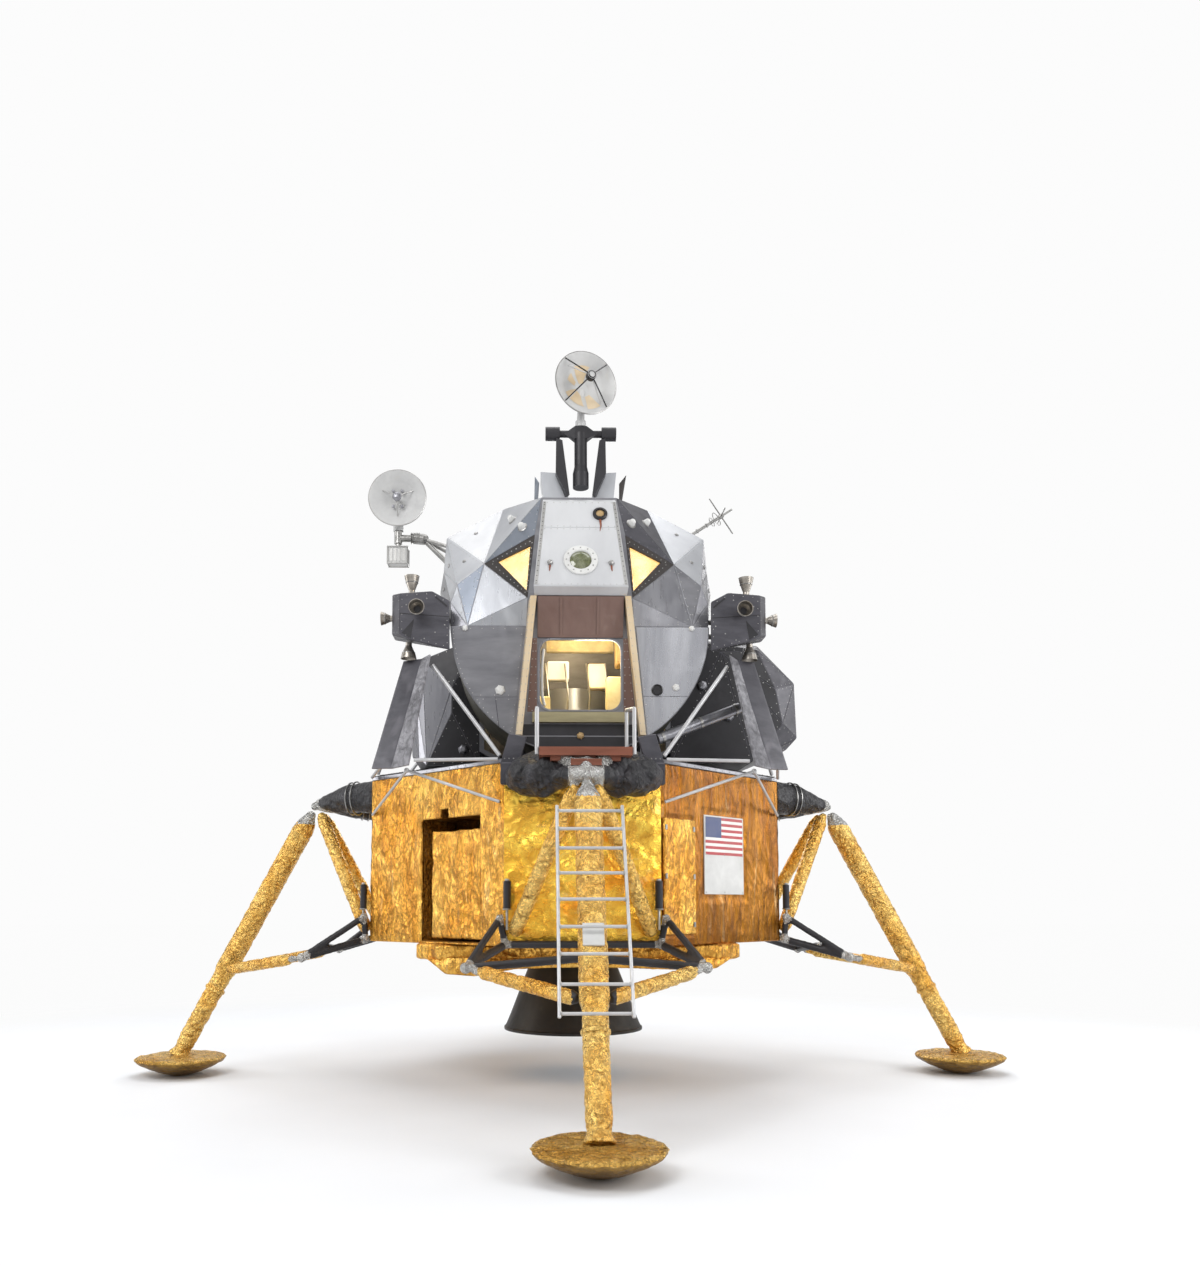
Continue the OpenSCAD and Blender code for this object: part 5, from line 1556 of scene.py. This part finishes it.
b.make("nozzle_throats", ["black_smooth", "steel"], smooth=True, slot="nozzle_metal")
# housing details: seam strips and the slot near the inner top corner
b = Build()
for sx in (-1, 1):
    b.prism([(sx * 1.225, -1.8225, 4.505), (sx * 1.688, -1.8225, 4.535), (sx * 1.688, -1.8225, 4.541), (sx * 1.225, -1.8225, 4.511)], (0, -1, 0), .003, 0)
    b.prism([(sx * 1.255, -1.8225, 4.600), (sx * 1.365, -1.8225, 4.690), (sx * 1.352, -1.8225, 4.702), (sx * 1.243, -1.8225, 4.612)], (0, -1, 0), .004, 0)
    b.prism([(sx * 1.585, -1.8225, 4.300), (sx * 1.672, -1.8225, 4.352), (sx * 1.556, -1.8225, 4.485)], (0, -1, 0), .003, 0)
    for x, z in ((1.27, 4.43), (1.36, 4.36), (1.46, 4.30), (1.63, 4.62), (1.44, 4.68)):
        b.rivet((sx * x, -1.8225, z), (0, -1, 0), .007, .004, 1, 8)
b.make("housing_details", ["black_smooth", "steel"], slot="dark_panel")
# small ring loops on the crossed rod antennas
b = Build()
for a0, q in ((Vector((1.190, -.420, 5.772)), 1), (Vector((-.800, 1.200, 5.762)), -1)):
    e_ = a0 + Vector((q * .410, 0, .265))
    d_ = Vector((q * .410, 0, .265)).normalized()
    u_ = Vector((0, 1, 0))
    w_ = d_.cross(u_)
    for r_, o_ in ((.075, -.06), (.05, -.12)):
        c_ = e_ + d_ * o_
        b.tube([c_ + (u_ * math.cos(t) + w_ * math.sin(t)) * r_ for t in np.linspace(0, 2 * math.pi, 25)], .0045, 0, 6)
    b.lathe(e_ - d_ * .03, d_, [(.022, 0), (.026, .006), (.026, .05), (.014, .058), (.003, .06)], 1, 14)
    for t_ in (.1, .35, .6):
        b.lathe(a0 + d_ * .48 * t_, d_, [(.020, 0), (.025, .004), (.025, .016), (.020, .02)], 1, 14)
b.make("rod_antenna_loops", ["bare", "steel"], smooth=True, slot="bare_metal")
# ring seams on the side outriggers
b = Build()
for k in range(1, 4):
    for y, r_ in ((-2.300, .181), (-2.360, .175)):
        for sx in (-1, 1):
            t_ = (-2.06 - y) / .30 if y > -2.36 else 1
            x_ = .500 - .170 * min(1, t_)
            p_ = Vector(four((sx * x_, y, 2.951), k))
            b.lathe(p_, Vector(four((-sx * .3, -1, 0), k)), [(r_ - .01, 0), (r_ + .003, .003), (r_ + .003, .012), (r_ - .01, .015)], 0, 30, False)
b.make("outrigger_rings", ["steel"], smooth=True, slot="dark_metal")
# cabin fittings seen through the hatch and windows
b = Build()
IM = ["inside", "inside_dark", "white_paint", "steel", "cream", "tan"]
for c_, s_, m in (((-.42, -1.0, 3.75), (.30, .30, .30), 0), ((-.52, -.95, 4.15), (.26, .30, .40), 4), ((.45, -1.02, 3.85), (.30, .28, .50), 0), ((.54, -.98, 4.45), (.28, .30, .40), 5),
                 ((.05, -.70, 4.62), (.70, .05, .34), 1), ((-.18, -.75, 4.24), (.22, .10, .20), 2), ((.22, -.76, 4.18), (.18, .12, .26), 4), ((-.62, -1.1, 4.72), (.22, .35, .36), 0), ((.66, -1.1, 4.95), (.2, .3, .3), 2)):
    b.box(c_, s_, m, .012)
for x in (-.30, -.10, .12, .31):
    b.tube([(x, -.86, 3.62), (x + .02, -.88, 3.95), (x - .015, -.86, 4.30)], .010, 3, 8)
for i in range(10):
    b.lathe((-.24 + .055 * i, -.728, 4.66 + .03 * (i % 2)), (0, -1, 0), [(.012, 0), (.012, .010), (.006, .014), (.002, .015)], 2 + (i % 3), 10)
# pale curved seal round the inner edge of the hatchway, left side
b.tube([(-.345, -1.66, 4.25), (-.360, -1.64, 4.10), (-.362, -1.63, 3.95), (-.358, -1.64, 3.80), (-.335, -1.66, 3.70)], .016, 2, 10)
b.make("cabin_fittings", IM, slot="cream_paint")
# fins beside the roof horns: near black on the right as painted shade, grey-blue on the left as the lit side
b = Build()
b.prism([(.395, -1.50, 5.775), (.43, -1.42, 5.80), (.475, -1.38, 6.07), (.400, -1.46, 5.95)], (.4, -1, 0), .010, 0, .002)
b.prism([(-.395, -1.50, 5.775), (-.43, -1.42, 5.80), (-.425, -1.40, 6.04), (-.385, -1.47, 5.95)], (-.4, -1, 0), .010, 1, .002)
b.make("roof_fins", ["frame_black", "grey_blue"], slot="dark_panel")

# rear equipment bay: seams
b = Build()
lo_b, hi_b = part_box("aft_bay")
yb = hi_b[1]
for x in (-.62, 0, .62):
    b.prism([(x - .005, yb + .003, 3.62), (x + .005, yb + .003, 3.62), (x + .005, yb + .003, 5.32), (x - .005, yb + .003, 5.32)], (0, 1, 0), .004, 1)
b.make("aft_bay_seams", ["charcoal", "black_smooth"], slot="dark_panel")
# bands on the umbilical tube
b = Build()
u0, u1 = Vector((.728, -1.700, 3.378)), Vector((1.546, -1.500, 3.719))
ud = (u1 - u0).normalized()
for t_ in (.04, .50, .93):
    b.lathe(u0.lerp(u1, t_), ud, [(.050, 0), (.057, .004), (.057, .030), (.050, .034)], 0, 24)
b.make("umbilical_bands", ["steel", "dark_metal"], smooth=True, slot="bare_metal")
# hex knobs on the tank fairings
b = Build()
for p_, d_ in (((1.341, -.632, 4.127), (0, -1, 0)), ((-1.171, -.632, 3.439), (0, -1, 0)), ((1.62, -.625, 3.80), (0, -1, 0)), ((-1.10, -.632, 4.25), (0, -1, 0))):
    b.lathe(p_, d_, [(.055, 0), (.055, .010), (.042, .030), (.024, .038), (.004, .040)], 0, 6)
b.make("fairing_knobs", ["mid_panel"], slot="grey_panel")
